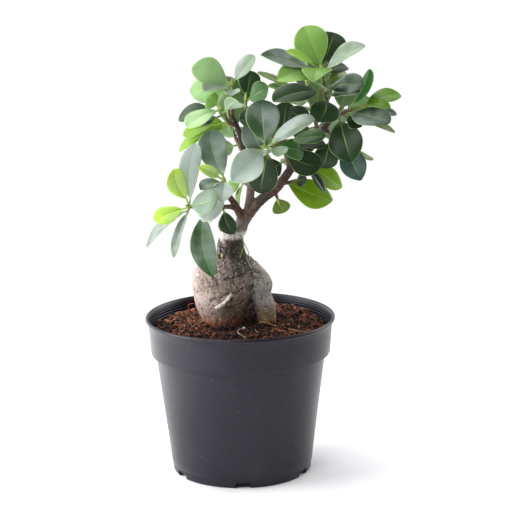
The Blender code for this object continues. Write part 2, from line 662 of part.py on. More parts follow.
def root_hole(name, rows, trunk):
    """Cutter for the soil: the leg's own shape, a little wider, from just under its foot."""
    low = sorted((r for r in rows if r[2] <= SOIL_LEVEL + HOLE_RISE), key=lambda r: r[2])
    foot = min(v.co.z / MM for v in trunk.data.vertices if abs(v.co.x / MM - low[0][0]) < low[0][3])
    path = [(low[0][0], low[0][1], foot - GAP)] + [r[:3] for r in low[1:]]
    return tube(name, path, [r[3] + ROOT_CLEARANCE for r in low], HOLE_SIDES, mean_squash(rows))


def main():
    clear_scene()
    make_pot()
    trunk = make_trunk()
    make_soil([root_hole("bulb_hole", BULB, trunk), root_hole("leg_hole", LOBE, trunk)])
    leaf_finish = material("leaf_green", LEAF_COLOUR, 0.4)
    for name, shoot in SHOOTS.items():
        make_shoot(name, shoot, leaf_finish)


main()
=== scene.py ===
"""Ginseng ficus in its nursery pot: the finished look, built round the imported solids.

Sizes in the sections below are in millimetres and are turned into metres by MM when a mesh
is made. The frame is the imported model's: +Z up, -Y to the front, the origin under the pot.
"""
import math

import bpy
import numpy as np
from mathutils import Matrix, Vector


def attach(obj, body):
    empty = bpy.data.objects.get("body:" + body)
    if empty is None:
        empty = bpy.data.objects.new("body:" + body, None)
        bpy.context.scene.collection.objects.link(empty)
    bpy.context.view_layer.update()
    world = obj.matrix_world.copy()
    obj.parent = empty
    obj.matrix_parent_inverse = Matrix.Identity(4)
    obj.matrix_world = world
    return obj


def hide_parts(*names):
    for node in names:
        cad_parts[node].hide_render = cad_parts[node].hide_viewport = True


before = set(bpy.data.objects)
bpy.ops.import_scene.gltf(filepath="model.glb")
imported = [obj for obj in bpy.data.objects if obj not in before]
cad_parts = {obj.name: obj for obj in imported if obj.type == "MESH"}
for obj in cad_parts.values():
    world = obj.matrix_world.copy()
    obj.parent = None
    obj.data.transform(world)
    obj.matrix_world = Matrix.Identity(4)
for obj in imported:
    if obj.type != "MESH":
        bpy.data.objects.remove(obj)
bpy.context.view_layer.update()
MM = 0.001


# The camera stands a little above the rim of the pot and looks down on it by some 13 degrees.
# Its lens is long, so the pot's sides hardly converge, and it leans by under one degree.
PHOTO_SIDE = 512
FOCAL_PIXELS = 1910.0
SENSOR = 36.0
CAMERA_DISTANCE = 1.2
CAMERA_TILT = math.radians(13.2)
CAMERA_ROLL = math.radians(-0.74)
AIM = Vector((0.0105, 0.0, 0.1382))

lens = bpy.data.cameras.new("camera")
lens.sensor_width = SENSOR
lens.lens = FOCAL_PIXELS * SENSOR / PHOTO_SIDE
camera = bpy.data.objects.new("camera", lens)
bpy.context.scene.collection.objects.link(camera)
ahead = Vector((0.0, math.cos(CAMERA_TILT), -math.sin(CAMERA_TILT)))
camera.matrix_world = (
    Matrix.Translation(AIM - ahead * CAMERA_DISTANCE)
    @ Matrix.Rotation(math.pi / 2 - CAMERA_TILT, 4, "X")
    @ Matrix.Rotation(CAMERA_ROLL, 4, "Z")
)
bpy.context.scene.camera = camera


# White studio: a paper floor that glows at the left and far off, a soft box on the left, one
# overhead that whitens the leaves' upper faces, one behind on the right and one high in front. The
# room is white behind, above and at the left and dim in front, so the pot's middle stays dark.
FLOOR_HALF = 4.0
FLOOR_WHITE = (0.08, 0.55)
FLOOR_LEFT = (-0.07, -0.17)
FLOOR_GAIN = 1.6
SOFT_BOXES = {
    "left_box": ((-1.25, -0.2, 0.55), (0.0, 0.0, 0.15), 0.9, 16.0),
    "top_box": ((-0.35, 0.35, 1.3), (0.0, 0.0, 0.12), 1.0, 8.0),
    "back_box": ((1.05, 0.55, 0.6), (0.02, 0.0, 0.15), 0.8, 8.0),
    "front_box": ((-0.45, -0.95, 1.0), (0.0, 0.0, 0.18), 0.55, 4.5),
}
ROOM_BEHIND = 0.95
ROOM_IN_FRONT = 0.115
ROOM_LEFT = 1.8


def paint(red, green, blue):
    """A colour as a picture shows it, 0 to 255, as the linear colour that a shader takes."""
    return tuple((c / 255 / 12.92 if c < 11 else ((c / 255 + 0.055) / 1.055) ** 2.4)
                 for c in (red, green, blue)) + (1.0,)


def node(tree, kind, inputs=(), **settings):
    """A shader node with its settings; each input is a (socket name or number, value or socket)."""
    made = tree.nodes.new(kind)
    for key, value in settings.items():
        setattr(made, key, value)
    for socket, value in inputs:
        if isinstance(value, bpy.types.NodeSocket):
            tree.links.new(value, made.inputs[socket])
        else:
            made.inputs[socket].default_value = value
    return made


def calc(tree, operation, first, second=0.0):
    """The result of a Math node."""
    return node(tree, "ShaderNodeMath", ((0, first), (1, second)), operation=operation).outputs[0]


def times(tree, first, second):
    """The product of two values."""
    return calc(tree, "MULTIPLY", first, second)


def blend_colour(tree, share, first, second):
    """The first colour moved towards the second by a share."""
    return node(tree, "ShaderNodeMix", ((0, share), (6, first), (7, second)), data_type="RGBA").outputs[2]


def grain(tree, where, scale, detail=3.0, roughness=0.55):
    """A noise value about 0.5."""
    return node(tree, "ShaderNodeTexNoise", (("Vector", where), ("Scale", scale), ("Detail", detail),
                                             ("Roughness", roughness))).outputs["Fac"]


def ramp(tree, value, low, high):
    """0 at `low`, 1 at `high`, smooth between them."""
    return node(tree, "ShaderNodeMapRange", ((0, value), (1, low), (2, high)),
                interpolation_type="SMOOTHSTEP").outputs[0]


def start_finish(name):
    """A new material with its tree, its shader and the piece's own coordinates."""
    finish = bpy.data.materials.new(name)
    finish.use_nodes = True
    tree = finish.node_tree
    return finish, tree, tree.nodes["Principled BSDF"], tree.nodes.new("ShaderNodeTexCoord").outputs["Object"]


for box_name, (place, target, side, watts) in SOFT_BOXES.items():
    lamp = bpy.data.lights.new(box_name, "AREA")
    lamp.shape = "SQUARE"
    lamp.size = side
    lamp.energy = watts
    stand = bpy.data.objects.new(box_name, lamp)
    bpy.context.scene.collection.objects.link(stand)
    stand.location = place
    stand.rotation_euler = (Vector(target) - Vector(place)).to_track_quat("-Z", "Y").to_euler()

sky = bpy.data.worlds.new("white_room")
bpy.context.scene.world = sky
sky.use_nodes = True
room = sky.node_tree
looking = room.nodes.new("ShaderNodeTexCoord").outputs["Generated"]
to_right, to_back, to_top = node(room, "ShaderNodeSeparateXYZ", ((0, looking),)).outputs
back = ramp(room, calc(room, "ADD", to_back, times(room, to_top, 0.2)), -0.6, 0.7)
glow = node(room, "ShaderNodeMapRange", ((0, back), (3, ROOM_IN_FRONT), (4, ROOM_BEHIND))).outputs[0]
glow = calc(room, "ADD", glow, times(room, ramp(room, to_right, -0.25, -0.85), ROOM_LEFT))
seen = room.nodes.new("ShaderNodeLightPath").outputs["Is Camera Ray"]
glow = calc(room, "MAXIMUM", glow, seen)
room.nodes["Background"].inputs["Color"].default_value = (0.97, 0.98, 1.0, 1.0)
room.links.new(glow, room.nodes["Background"].inputs["Strength"])
bpy.context.scene.view_settings.view_transform = "Standard"

floor_mesh = bpy.data.meshes.new("studio_floor")
h = FLOOR_HALF
floor_mesh.from_pydata([(-h, -h, 0), (h, -h, 0), (h, h, 0), (-h, h, 0)], [], [(0, 1, 2, 3)])
studio_floor = bpy.data.objects.new("studio_floor", floor_mesh)
bpy.context.scene.collection.objects.link(studio_floor)
white, tree, shader, where = start_finish("white_paper")
shader.inputs["Base Color"].default_value = (0.93, 0.93, 0.935, 1)
shader.inputs["Roughness"].default_value = 0.8
distance = node(tree, "ShaderNodeVectorMath", ((0, where),), operation="LENGTH").outputs["Value"]
on_left = ramp(tree, node(tree, "ShaderNodeSeparateXYZ", ((0, where),)).outputs[0], *FLOOR_LEFT)
strength = calc(tree, "ADD", 1.0, times(tree, on_left, FLOOR_GAIN))
lit = node(tree, "ShaderNodeEmission", (("Color", (1.0, 1.0, 1.0, 1.0)), ("Strength", strength)))
white_share = calc(tree, "MAXIMUM", ramp(tree, distance, *FLOOR_WHITE), on_left)
spread = node(tree, "ShaderNodeMixShader", ((0, white_share), (1, shader.outputs[0]), (2, lit.outputs[0])))
tree.links.new(spread.outputs[0], tree.nodes["Material Output"].inputs["Surface"])
floor_mesh.materials.append(white)


# The pot is one thin moulded shell of recycled black plastic. A deep band runs under the rim,
# the rim is rolled to a bead, the wall inside the rim carries fine moulding rings, and six
# shallow notches in the foot let water out. It is satin, duller inside, with dust and faint scuffs.
POT_SEGMENTS = 360
POT_HEIGHT = 100.0
NOTCH_COUNT = 6
NOTCH_TURN = math.radians(-89.0)
NOTCH_HALF = math.radians(5.9)
NOTCH_TOP = 3.6
NOTCH_DEPTH = 4.5
RING_BAND = (84.0, 97.0)
RING_PITCH = 1.75
RING_HEIGHT = 0.36
POT_OUTER = (
    (0.0, 0.0), (42.4, 0.0), (43.2, 0.05), (43.8, 0.3), (44.1, 0.8), (44.25, 2.0), (44.38, 3.5),
    (44.4, 3.7), (44.55, 5.2), (44.68, 5.75), (44.85, 6.05), (45.0, 6.3), (45.85, 14.0),
    (53.7, 76.2), (54.0, 76.5), (55.9, 76.55), (56.5, 76.8), (56.75, 77.3), (56.85, 78.2),
    (58.2, 96.6), (58.4, 97.1), (59.1, 97.35), (59.6, 97.65), (59.9, 98.2), (60.0, 98.9),
    (59.8, 99.5), (59.4, 99.9), (58.9, 100.0), (58.5, 99.8), (58.2, 99.3), (57.75, 98.7),
)
POT_INNER = ((57.3, 98.0), (57.1, 97.3), (55.7, 78.5), (52.6, 75.0), (43.0, 1.7), (0.0, 1.6))
POT_STEP = 0.45
POT_GLOSS = 0.33
INSIDE_GLOSS = 0.12


def skin(name, points, faces, finish, smooth=True):
    """One mesh object from points in millimetres and the corner numbers of its faces."""
    mesh = bpy.data.meshes.new(name)
    corners = faces.tolist() if isinstance(faces, np.ndarray) else faces
    mesh.from_pydata((np.asarray(points) * MM).tolist(), [], corners)
    mesh.materials.append(finish)
    if smooth:
        mesh.shade_smooth()
    piece = bpy.data.objects.new(name, mesh)
    bpy.context.scene.collection.objects.link(piece)
    return piece


def ring_faces(rows, columns):
    """Corner numbers of the quads of a grid of points whose columns close on themselves."""
    r, c = np.meshgrid(np.arange(rows - 1), np.arange(columns), indexing="ij")
    beside = (c + 1) % columns
    row, row_after = r * columns, (r + 1) * columns
    return np.stack([row + c, row + beside, row_after + beside, row_after + c], -1).reshape(-1, 4)


def walk(corners, step):
    """Points along straight runs between corners, no more than `step` apart."""
    corners = np.array(corners, float)
    runs = [np.linspace(a, b, max(1, int(np.ceil(np.linalg.norm(b - a) / step))), endpoint=False)
            for a, b in zip(corners, corners[1:])]
    return np.vstack(runs + [corners[-1:]])


def roughen(tree, shader, height, strength, depth):
    """Bump the shader's surface by a height value that stands for `depth` metres."""
    bump = node(tree, "ShaderNodeBump", (("Height", height), ("Strength", strength), ("Distance", depth)))
    tree.links.new(bump.outputs[0], shader.inputs["Normal"])


def black_plastic(name, gloss):
    """Satin charcoal with a fine moulded grain, drawn marks round the wall, dust and scuffs."""
    finish, tree, shader, where = start_finish(name)
    drawn = node(tree, "ShaderNodeMapping", (("Vector", where), ("Scale", (1.0, 1.0, 9.0)))).outputs[0]
    cloudy = grain(tree, where, 28.0, 4.0)
    base = blend_colour(tree, cloudy, paint(22, 20, 28), paint(30, 28, 37))
    specks = ramp(tree, grain(tree, where, 900.0, 1.0), 0.745, 0.8)
    film = times(tree, ramp(tree, grain(tree, where, 60.0, 5.0), 0.5, 0.8), 0.045)
    dusty = blend_colour(tree, film, base, paint(110, 108, 108))
    dusty = blend_colour(tree, times(tree, specks, 0.3), dusty, paint(160, 156, 152))
    tree.links.new(dusty, shader.inputs["Base Color"])
    rough = node(tree, "ShaderNodeMapRange", ((0, cloudy), (3, 0.28), (4, 0.38))).outputs[0]
    tree.links.new(rough, shader.inputs["Roughness"])
    shader.inputs["Specular IOR Level"].default_value = gloss
    shader.inputs["Specular Tint"].default_value = (0.95, 0.93, 1.0, 1.0)
    fine = times(tree, grain(tree, where, 1500.0, 2.0), 0.6)
    roughen(tree, shader, calc(tree, "ADD", fine, grain(tree, drawn, 160.0, 2.0)), 0.12, 0.0004)
    return finish


outside = walk(POT_OUTER, 5.0)[:-1]
ringed = walk(POT_OUTER[-1:] + POT_INNER[:3], POT_STEP)[:-1]
profile = np.vstack((outside, ringed, walk(POT_INNER[2:], 8.0)))
turn = np.arange(POT_SEGMENTS) * 2 * math.pi / POT_SEGMENTS
radius = np.repeat(profile[:, :1], POT_SEGMENTS, axis=1)
height = np.repeat(profile[:, 1:], POT_SEGMENTS, axis=1)
inner_row = int(np.argmax(profile[:, 1] >= POT_HEIGHT)) + 1
rings = (0.5 - 0.5 * np.cos(2 * math.pi * (height - RING_BAND[0]) / RING_PITCH)) ** 3
in_band = (height > RING_BAND[0]) & (height < RING_BAND[1])
in_band[:inner_row] = False
radius -= RING_HEIGHT * rings * in_band
half_way = math.pi / NOTCH_COUNT
off_notch = (turn - NOTCH_TURN + half_way) % (2 * half_way) - half_way
notched = (np.abs(off_notch) < NOTCH_HALF)[None] & (height < NOTCH_TOP) & (radius > 41.0)
notched[inner_row:] = False
radius = np.where(notched, radius - NOTCH_DEPTH, radius)
pot_points = np.stack([radius * np.cos(turn), radius * np.sin(turn), height], -1).reshape(-1, 3)
pot_faces = ring_faces(len(profile), POT_SEGMENTS)
pot = skin("nursery_pot", pot_points, pot_faces, black_plastic("pot_plastic", POT_GLOSS))
pot.data.materials.append(black_plastic("pot_inside", INSIDE_GLOSS))
is_inside = np.arange(len(pot.data.polygons)) >= len(outside) * POT_SEGMENTS
pot.data.polygons.foreach_set("material_index", is_inside.astype(np.int32))
pot.data.set_sharp_from_angle(angle=math.radians(35))
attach(pot, "root")
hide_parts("pot")


# Potting soil fills the pot to some 6 mm under the rim. It is loose, reddish-brown crumbs of
# coir and peat over a lumpy bed, heaped a little at the back right and at the left.
SOIL_LEVEL = 94.0
SOIL_SEGMENTS = 240
SOIL_EDGE = 56.4
SOIL_RINGS = 72
SOIL_WALL = ((56.1, 90.0), (55.1, 79.2), (52.0, 75.8), (42.4, 1.9), (0.0, 1.9))
SOIL_EDGE_FALL = 4.2
SOIL_MOUNDS = ((31, 27, 2.4, 260.0), (-32, -4, 2.0, 200.0))
CRUMB_LAYERS = {
    "soil_dust": (9600, (0.28, 0.7), 0.1),
    "soil_crumbs": (6200, (0.5, 1.15), 0.5),
    "soil_clods": (520, (1.0, 2.1), 0.5),
}
BULB_FOOT = (-10.8, 1.0, 12.0)
LEG_FOOT = (17.4, 0.0, 5.4)
# Painted shade darkens the soil round the foot of the root: in the cleft between bulb and leg, behind it and
# under the front of the bulb. Each spot: x, y and reach.
SHADE_SPOTS = ((8.0, 2.0, 8.0), (9.0, 14.0, 9.0), (9.0, 27.0, 9.0), (8.0, 41.0, 10.0), (-8.0, -15.0, 9.0),
              (8.0, -18.0, 12.0))
SOIL_TONE_SHARES = (0.38, 0.4, 0.18, 0.04)
draw = np.random.default_rng(11)


def bare(red, green, blue):
    """The linear colour alone, without its alpha."""
    return np.array(paint(red, green, blue)[:3])


SOIL_TONES = np.array([bare(32, 22, 19), bare(66, 44, 35), bare(113, 72, 54), bare(156, 103, 77)])


def cloud(points, cell, seed, side=32):
    """Smooth noise from -1 to 1: values drawn on a cubic lattice, eased between its corners."""
    table = np.random.default_rng(seed).uniform(-1, 1, (side, side, side))
    spot = np.asarray(points) / cell
    corner = np.floor(spot).astype(int)
    f = spot - corner
    f = f * f * (3 - 2 * f)
    total = 0
    for step in np.ndindex(2, 2, 2):
        share = np.prod([f[..., k] if step[k] else 1 - f[..., k] for k in range(3)], axis=0)
        x, y, z = ((corner[..., k] + step[k]) % side for k in range(3))
        total = total + share * table[x, y, z]
    return total


def ease(value, low, high):
    """0 below `low`, 1 above `high`, smooth between them."""
    t = np.clip((value - low) / (high - low), 0, 1)
    return t * t * (3 - 2 * t)


def soil_height(x, y):
    """The bed: sine lumps round one level, bell-shaped mounds, and a fall to the wall."""
    lumps = np.sin(0.31 * x + 1.3) * np.cos(0.27 * y - 0.4)
    lumps += 0.6 * np.sin(0.55 * y + 0.23 * x) + 0.4 * np.cos(0.8 * x - 0.62 * y)
    mound = 0.0
    for mound_x, mound_y, rise, spread in SOIL_MOUNDS:
        mound = mound + rise * np.exp(-((x - mound_x) ** 2 + (y - mound_y) ** 2) / spread)
    return SOIL_LEVEL + 0.7 * lumps + mound - SOIL_EDGE_FALL * ease(np.hypot(x, y), 43.0, 56.0)


def shade_factor(x, y):
    """1 in the open, falling like a bell towards each spot of painted shade round the foot of the root."""
    lightness = 1.0
    for shade_x, shade_y, shade_reach in SHADE_SPOTS:
        lightness = lightness * (1 - 0.92 * np.exp(-((x - shade_x) ** 2 + (y - shade_y) ** 2) / shade_reach ** 2))
    return lightness


def colour_points(piece, name, colours):
    """Store a colour at each point of a piece: a row for each point, or one for them all."""
    layer = piece.data.color_attributes.new(name, "FLOAT_COLOR", "POINT")
    four = np.ones((len(piece.data.vertices), 4), np.float32)
    four[:, :colours.shape[-1]] = colours
    layer.data.foreach_set("color", four.ravel())


def loose_soil():
    """Dead-matt finish that takes each crumb's tone, painted shade included, and flecks it with pale specks.
    """
    finish, tree, shader, where = start_finish("potting_soil")
    tone = node(tree, "ShaderNodeAttribute", attribute_name="tone").outputs["Color"]
    speck = times(tree, ramp(tree, grain(tree, where, 1400.0, 2.0), 0.58, 0.74), 0.35)
    base = blend_colour(tree, speck, tone, paint(170, 122, 94))
    tree.links.new(base, shader.inputs["Base Color"])
    shader.inputs["Roughness"].default_value = 0.92
    shader.inputs["Specular IOR Level"].default_value = 0.25
    roughen(tree, shader, grain(tree, where, 1800.0, 3.0), 0.5, 0.0004)
    return finish


soil_finish = loose_soil()
reach = np.concatenate((np.linspace(0.0, 1.0, SOIL_RINGS) * SOIL_EDGE, [r for r, _ in SOIL_WALL]))
turn = np.arange(SOIL_SEGMENTS) * 2 * math.pi / SOIL_SEGMENTS
bed_x, bed_y = np.outer(reach, np.cos(turn)), np.outer(reach, np.sin(turn))
bed_z = soil_height(bed_x, bed_y)
flat = np.stack([bed_x, bed_y, 0 * bed_x], -1)
bed_z += 0.5 * cloud(flat, 3.1, 1) + 0.45 * cloud(flat, 1.5, 2)
bed_z[SOIL_RINGS:] = np.array([z for _, z in SOIL_WALL])[:, None]
bed = skin("soil_bed", np.stack([bed_x, bed_y, bed_z], -1).reshape(-1, 3),
           ring_faces(len(reach), SOIL_SEGMENTS)[:, ::-1], soil_finish)
colour_points(bed, "tone", SOIL_TONES[0])
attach(bed, "root")
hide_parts("soil")

GOLD = (1 + 5 ** 0.5) / 2
LUMP_POINTS = np.array([
    (-1, GOLD, 0), (1, GOLD, 0), (-1, -GOLD, 0), (1, -GOLD, 0), (0, -1, GOLD), (0, 1, GOLD),
    (0, -1, -GOLD), (0, 1, -GOLD), (GOLD, 0, -1), (GOLD, 0, 1), (-GOLD, 0, -1), (-GOLD, 0, 1),
])
LUMP_POINTS = LUMP_POINTS / np.linalg.norm(LUMP_POINTS[0])
LUMP_CORNERS = len(LUMP_POINTS)
LUMP_FACES = np.array([(0, 11, 5), (0, 5, 1), (0, 1, 7), (0, 7, 10), (0, 10, 11), (1, 5, 9), (5, 11, 4),
                       (11, 10, 2), (10, 7, 6), (7, 1, 8), (3, 9, 4), (3, 4, 2), (3, 2, 6), (3, 6, 8),
                       (3, 8, 9), (4, 9, 5), (2, 4, 11), (6, 2, 10), (8, 6, 7), (9, 8, 1)])


def scatter(name, count, sizes, sink):
    """Rough lumps thrown over the bed: one twenty-sided lump, stretched, turned and dented each time."""
    far = np.sqrt(draw.uniform(0, 1, count)) * (SOIL_EDGE - sizes[1] * 0.6)
    way = draw.uniform(0, 2 * math.pi, count)
    x, y = far * np.cos(way), far * np.sin(way)
    clear = np.ones(count, bool)
    for foot_x, foot_y, foot_radius in (BULB_FOOT, LEG_FOOT):
        clear &= np.hypot(x - foot_x, y - foot_y) > foot_radius
    x, y = x[clear], y[clear]
    n = len(x)
    size = sizes[0] + (sizes[1] - sizes[0]) * draw.uniform(0, 1, n) ** 1.8
    spin, _ = np.linalg.qr(draw.normal(size=(n, 3, 3)))
    stretch = draw.uniform(0.55, 1.3, (n, 1, 3))
    dents = draw.uniform(0.7, 1.25, (n, LUMP_CORNERS, 1))
    shape = np.einsum("nij,nkj->nki", spin, LUMP_POINTS[None] * dents * stretch) * size[:, None, None]
    heap = 0.9 * cloud(np.stack([x, y, 0 * x], -1), 7.0, 3) + 0.6
    top = soil_height(x, y) + size * sink + np.maximum(heap, 0) * draw.uniform(0, 1, n)
    points = shape + np.stack([x, y, top], -1)[:, None]
    faces = LUMP_FACES[None] + LUMP_CORNERS * np.arange(n)[:, None, None]
    turned = np.linalg.det(spin) < 0
    faces[turned] = faces[turned][..., ::-1]
    piece = skin(name, points.reshape(-1, 3), faces.reshape(-1, 3), soil_finish, smooth=False)
    # Crumbs are lighter at random, towards the back and at the left, and darkened by painted shade round the
    # root's foot.
    lightness = 1.0 + 0.4 * cloud(np.stack([x, y, 0 * x], -1), 11.0, 4) + 0.012 * y + 0.35 * ease(-x, 18.0, 34.0)
    lightness = lightness * shade_factor(x, y)
    tones = SOIL_TONES[draw.choice(4, n, p=SOIL_TONE_SHARES)] * (draw.uniform(0.7, 1.3, n) * lightness)[:, None]
    colour_points(piece, "tone", np.repeat(tones, LUMP_CORNERS, axis=0))
    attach(piece, "root")


for layer_name, layer in CRUMB_LAYERS.items():
    scatter(layer_name, *layer)


# Coir fibres and shed rootlets lie on and in the crumbs: short curved hairs, a curled one at the
# left, pale rootlets that run from the bulb over the soil, and a white crumb in front of it.
FIBRES = 300
FIBRE_LENGTHS = (4.0, 14.0)
FIBRE_RADII = (0.1, 0.24)
FIBRE_STATIONS = 7
FIBRE_SIDES = 4
FIBRE_TONES = np.array([bare(120, 66, 44), bare(168, 104, 74), bare(92, 52, 38)])
ROOTLET_ROWS = 40
ROOTLETS = {
    "curl": (((-22, 20, 94), (-28, 25, 94.6), (-32.5, 26, 96.6), (-33.5, 25, 100), (-31, 24, 101.6),
              (-28.6, 24, 100.4), (-29, 24, 98.4)), 0.48, (140, 74, 50)),
    "left_a": (((-21, -4, 98), (-26, -7, 97), (-31, -13, 96), (-37, -22, 95.5)), 0.5, (186, 140, 116)),
    "left_b": (((-21.5, -3, 99.5), (-27, -6, 98), (-33, -10, 96.5), (-38, -15, 95.8)), 0.4, (170, 120, 96)),
    "left_c": (((-20, -7, 97), (-24, -13, 96.2), (-30, -19, 95.6), (-34, -27, 95.2)), 0.35, (150, 100, 78)),
    "front_loop": (((4, -19, 95), (0, -22, 96.8), (-1.5, -27, 96.4), (1, -33, 96), (5, -38, 95.4)),
                   0.3, (176, 146, 126)),
    "front_hair": (((9, -17, 95.4), (10, -24, 96), (14, -31, 95.6), (15, -38, 95.2)), 0.22, (150, 116, 96)),
    "leg_root": (((12, -6, 96.5), (16, -9, 97.2), (20, -11, 96.2), (25, -14, 95.2)), 0.5, (150, 104, 70)),
    "right_hair": (((28, -16, 95.6), (33, -22, 96), (38, -26, 95.8), (43, -27, 95.5)), 0.28, (168, 124, 96)),
}
WHITE_CRUMB = (2.4, -17.5, 96.0, 1.5)


def smooth_path(points, count):
    """Points along a Catmull-Rom curve through the given ones, `count` of them, evenly spaced."""
    p = np.array(points, float)
    p = np.vstack((2 * p[0] - p[1], p, 2 * p[-1] - p[-2]))
    t = np.linspace(0, 1, 24, endpoint=False)[:, None]
    bits = [0.5 * (2 * b + (c - a) * t + (2 * a - 5 * b + 4 * c - d) * t ** 2
                   + (3 * b - a - 3 * c + d) * t ** 3)
            for a, b, c, d in zip(p, p[1:], p[2:], p[3:])]
    return evenly(np.vstack(bits + [p[-2:-1]]), 0.0, None, count)


def evenly(path, begin, end, count):
    """`count` rows evenly spaced between two distances along a path; columns past the third ride along."""
    run = np.concatenate(([0.0], np.cumsum(np.linalg.norm(np.diff(path[:, :3], axis=0), axis=1))))
    want = np.linspace(begin, run[-1] if end is None else end, count)
    return np.column_stack([np.interp(want, run, path[:, k]) for k in range(path.shape[1])])


def tubes(paths, radii, sides):
    """Closed tubes along many paths at once: a ring of `sides` points round each station.

    `paths` is (tubes, stations, 3) and `radii` is (tubes, stations). Each ring stands square to
    its path, on one side direction that is carried straight across the whole tube.
    """
    paths = np.asarray(paths, float)
    ahead = np.gradient(paths, axis=1)
    ahead /= np.linalg.norm(ahead, axis=2, keepdims=True)
    lead = ahead.mean(1)
    steep = np.abs(lead[:, 2:]) > 0.8 * np.linalg.norm(lead, axis=1, keepdims=True)
    rough = np.where(steep, [[1.0, 0, 0]], [[0, 0, 1.0]])
    side = np.cross(ahead, np.cross(rough, lead)[:, None])
    side /= np.linalg.norm(side, axis=2, keepdims=True)
    deep = np.cross(ahead, side)
    a = np.arange(sides) * 2 * math.pi / sides
    ring = side[:, :, None] * np.cos(a)[:, None] + deep[:, :, None] * np.sin(a)[:, None]
    points = paths[:, :, None] + ring * np.asarray(radii)[:, :, None, None]
    n, stations = paths.shape[:2]
    wall = ring_faces(stations, sides)
    faces = (wall[None] + (stations * sides) * np.arange(n)[:, None, None]).reshape(-1, 4).tolist()
    for k in range(n):
        first = k * stations * sides
        faces.append(list(range(first, first + sides))[::-1])
        faces.append(list(range(first + (stations - 1) * sides, first + stations * sides)))
    return points.reshape(-1, 3), faces


far = np.sqrt(draw.uniform(0, 1, FIBRES)) * (SOIL_EDGE - 6)
way = draw.uniform(0, 2 * math.pi, FIBRES)
lie = draw.uniform(0, 2 * math.pi, FIBRES)
bend = draw.normal(0, 0.09, FIBRES)
length = draw.uniform(*FIBRE_LENGTHS, FIBRES)
s = np.linspace(-0.5, 0.5, FIBRE_STATIONS)
course = lie[:, None] + bend[:, None] * s * length[:, None]
fibre_x = (far * np.cos(way))[:, None] + s * length[:, None] * np.cos(course)
fibre_y = (far * np.sin(way))[:, None] + s * length[:, None] * np.sin(course)
out = np.hypot(fibre_x, fibre_y).max(1)
pull = np.minimum(1.0, (SOIL_EDGE - 1.0) / out)[:, None]
fibre_x, fibre_y = fibre_x * pull, fibre_y * pull
arc = draw.uniform(0.2, 2.4, FIBRES)[:, None] * (1 - (2 * s) ** 2)
fibre_z = soil_height(fibre_x, fibre_y) + 0.6 + arc
keep = np.ones(FIBRES, bool)
for foot_x, foot_y, foot_radius in (BULB_FOOT, LEG_FOOT):
    keep &= np.hypot(fibre_x - foot_x, fibre_y - foot_y).min(1) > foot_radius
fibre_paths = np.stack([fibre_x, fibre_y, fibre_z], -1)[keep]
fibre_radii = draw.uniform(*FIBRE_RADII, FIBRES)[keep, None] * (1.15 - (2 * s) ** 2 * 0.75)
fibre_points, fibre_faces = tubes(fibre_paths, fibre_radii, FIBRE_SIDES)
fibres = skin("coir_fibres", fibre_points, fibre_faces, soil_finish)
tones = FIBRE_TONES[draw.choice(3, len(fibre_paths))] * draw.uniform(0.7, 1.15, (len(fibre_paths), 1))
# Fibres near the root's foot are darkened by painted shade too.
tones = tones * shade_factor(*fibre_paths.mean(1)[:, :2].T)[:, None]
colour_points(fibres, "tone", np.repeat(tones, FIBRE_STATIONS * FIBRE_SIDES, axis=0))
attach(fibres, "root")

for rootlet_name, (course, thick, colour) in ROOTLETS.items():
    path = smooth_path(course, ROOTLET_ROWS)
    path += 0.35 * np.stack([cloud(path + k * 17.0, 2.5, 5 + k) for k in range(3)], -1)
    taper = thick * np.linspace(1.0, 0.55, ROOTLET_ROWS)
    rootlet = skin("rootlet_" + rootlet_name, *tubes(path[None], taper[None], 8), soil_finish)
    colour_points(rootlet, "tone", bare(*colour))
    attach(rootlet, "root")

x, y, z, size = WHITE_CRUMB
white_crumb = skin("white_crumb", LUMP_POINTS * size * (1.0, 0.7, 0.6) + (x, y, z), LUMP_FACES, soil_finish)
colour_points(white_crumb, "tone", bare(226, 220, 214))
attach(white_crumb, "root")


# Leaves sit in whorls on short green-tipped twigs. Each is thick, waxy and oval, widest past its
# middle, on a short stalk, with a sunken pale midrib, faint side veins and a fine pale edge.
FRONT = np.array((0.0, -0.97, 0.23))
BACK = np.array((0.0, 0.9, 0.44))
UP = np.array((0.0, 0.0, 1.0))
END_ON = 0.8
BLADE_THICK = 0.62
BLADE_ROWS = 27
ACROSS = np.array((0.0, 0.06, 0.16, 0.32, 0.5, 0.68, 0.84, 0.95, 1.0))
BASE_TAPER = 0.88
TIP_TAPERS = (0.5, 0.66)
STALK_RADIUS = 0.72
STALK_SIDES = 8
STALK_ROWS = 6
STALK_SHAPE = np.array([1.15, 1.0, 0.95, 0.92, 0.9, 0.85, 0.4])
PATH_ROWS = 60
TWIG_ROWS = 24
TWIG_SIDES = 12
BUD_SIDES = 10
BUD_SHAPE = np.array([0.9, 1.15, 1.25, 1.15, 0.95, 0.72, 0.5, 0.28, 0.06])
SPUR_LAP = 0.6
# Each tone: a colour and the share of painted sheen, pale patches for the light the glossy blade reflects.
# The palest, greyest tones are pale mostly by painted sheen; sunlit and apple are yellow-green partly by
# painted light shining through the blade.
TONES = {
    "bright": (124, 165, 80, 0.03), "fresh": (150, 194, 72, 0.03), "leafy": (104, 142, 60, 0.03),
    "soft": (148, 186, 122, 0.18), "mid": (56, 98, 42, 0.05), "green": (58, 118, 40, 0.05),
    "dark": (33, 58, 29, 0.03), "deep": (25, 46, 22, 0.02), "slate": (44, 68, 42, 0.55),
    "grey_sheen": (92, 112, 96, 0.85), "sheen": (112, 130, 106, 0.62), "bright_sheen": (186, 198, 190, 0.9),
    "teal": (36, 70, 58, 0.1), "lime": (170, 208, 64, 0.35), "olive": (92, 118, 36, 0.03),
    "sunlit": (112, 150, 28, 0.0), "mint": (68, 95, 60, 0.35), "dull_sheen": (88, 100, 88, 0.6),
    "apple": (84, 124, 10, 0.0), "pale_sheen": (142, 160, 144, 0.8), "moor": (50, 86, 38, 0.62),
}
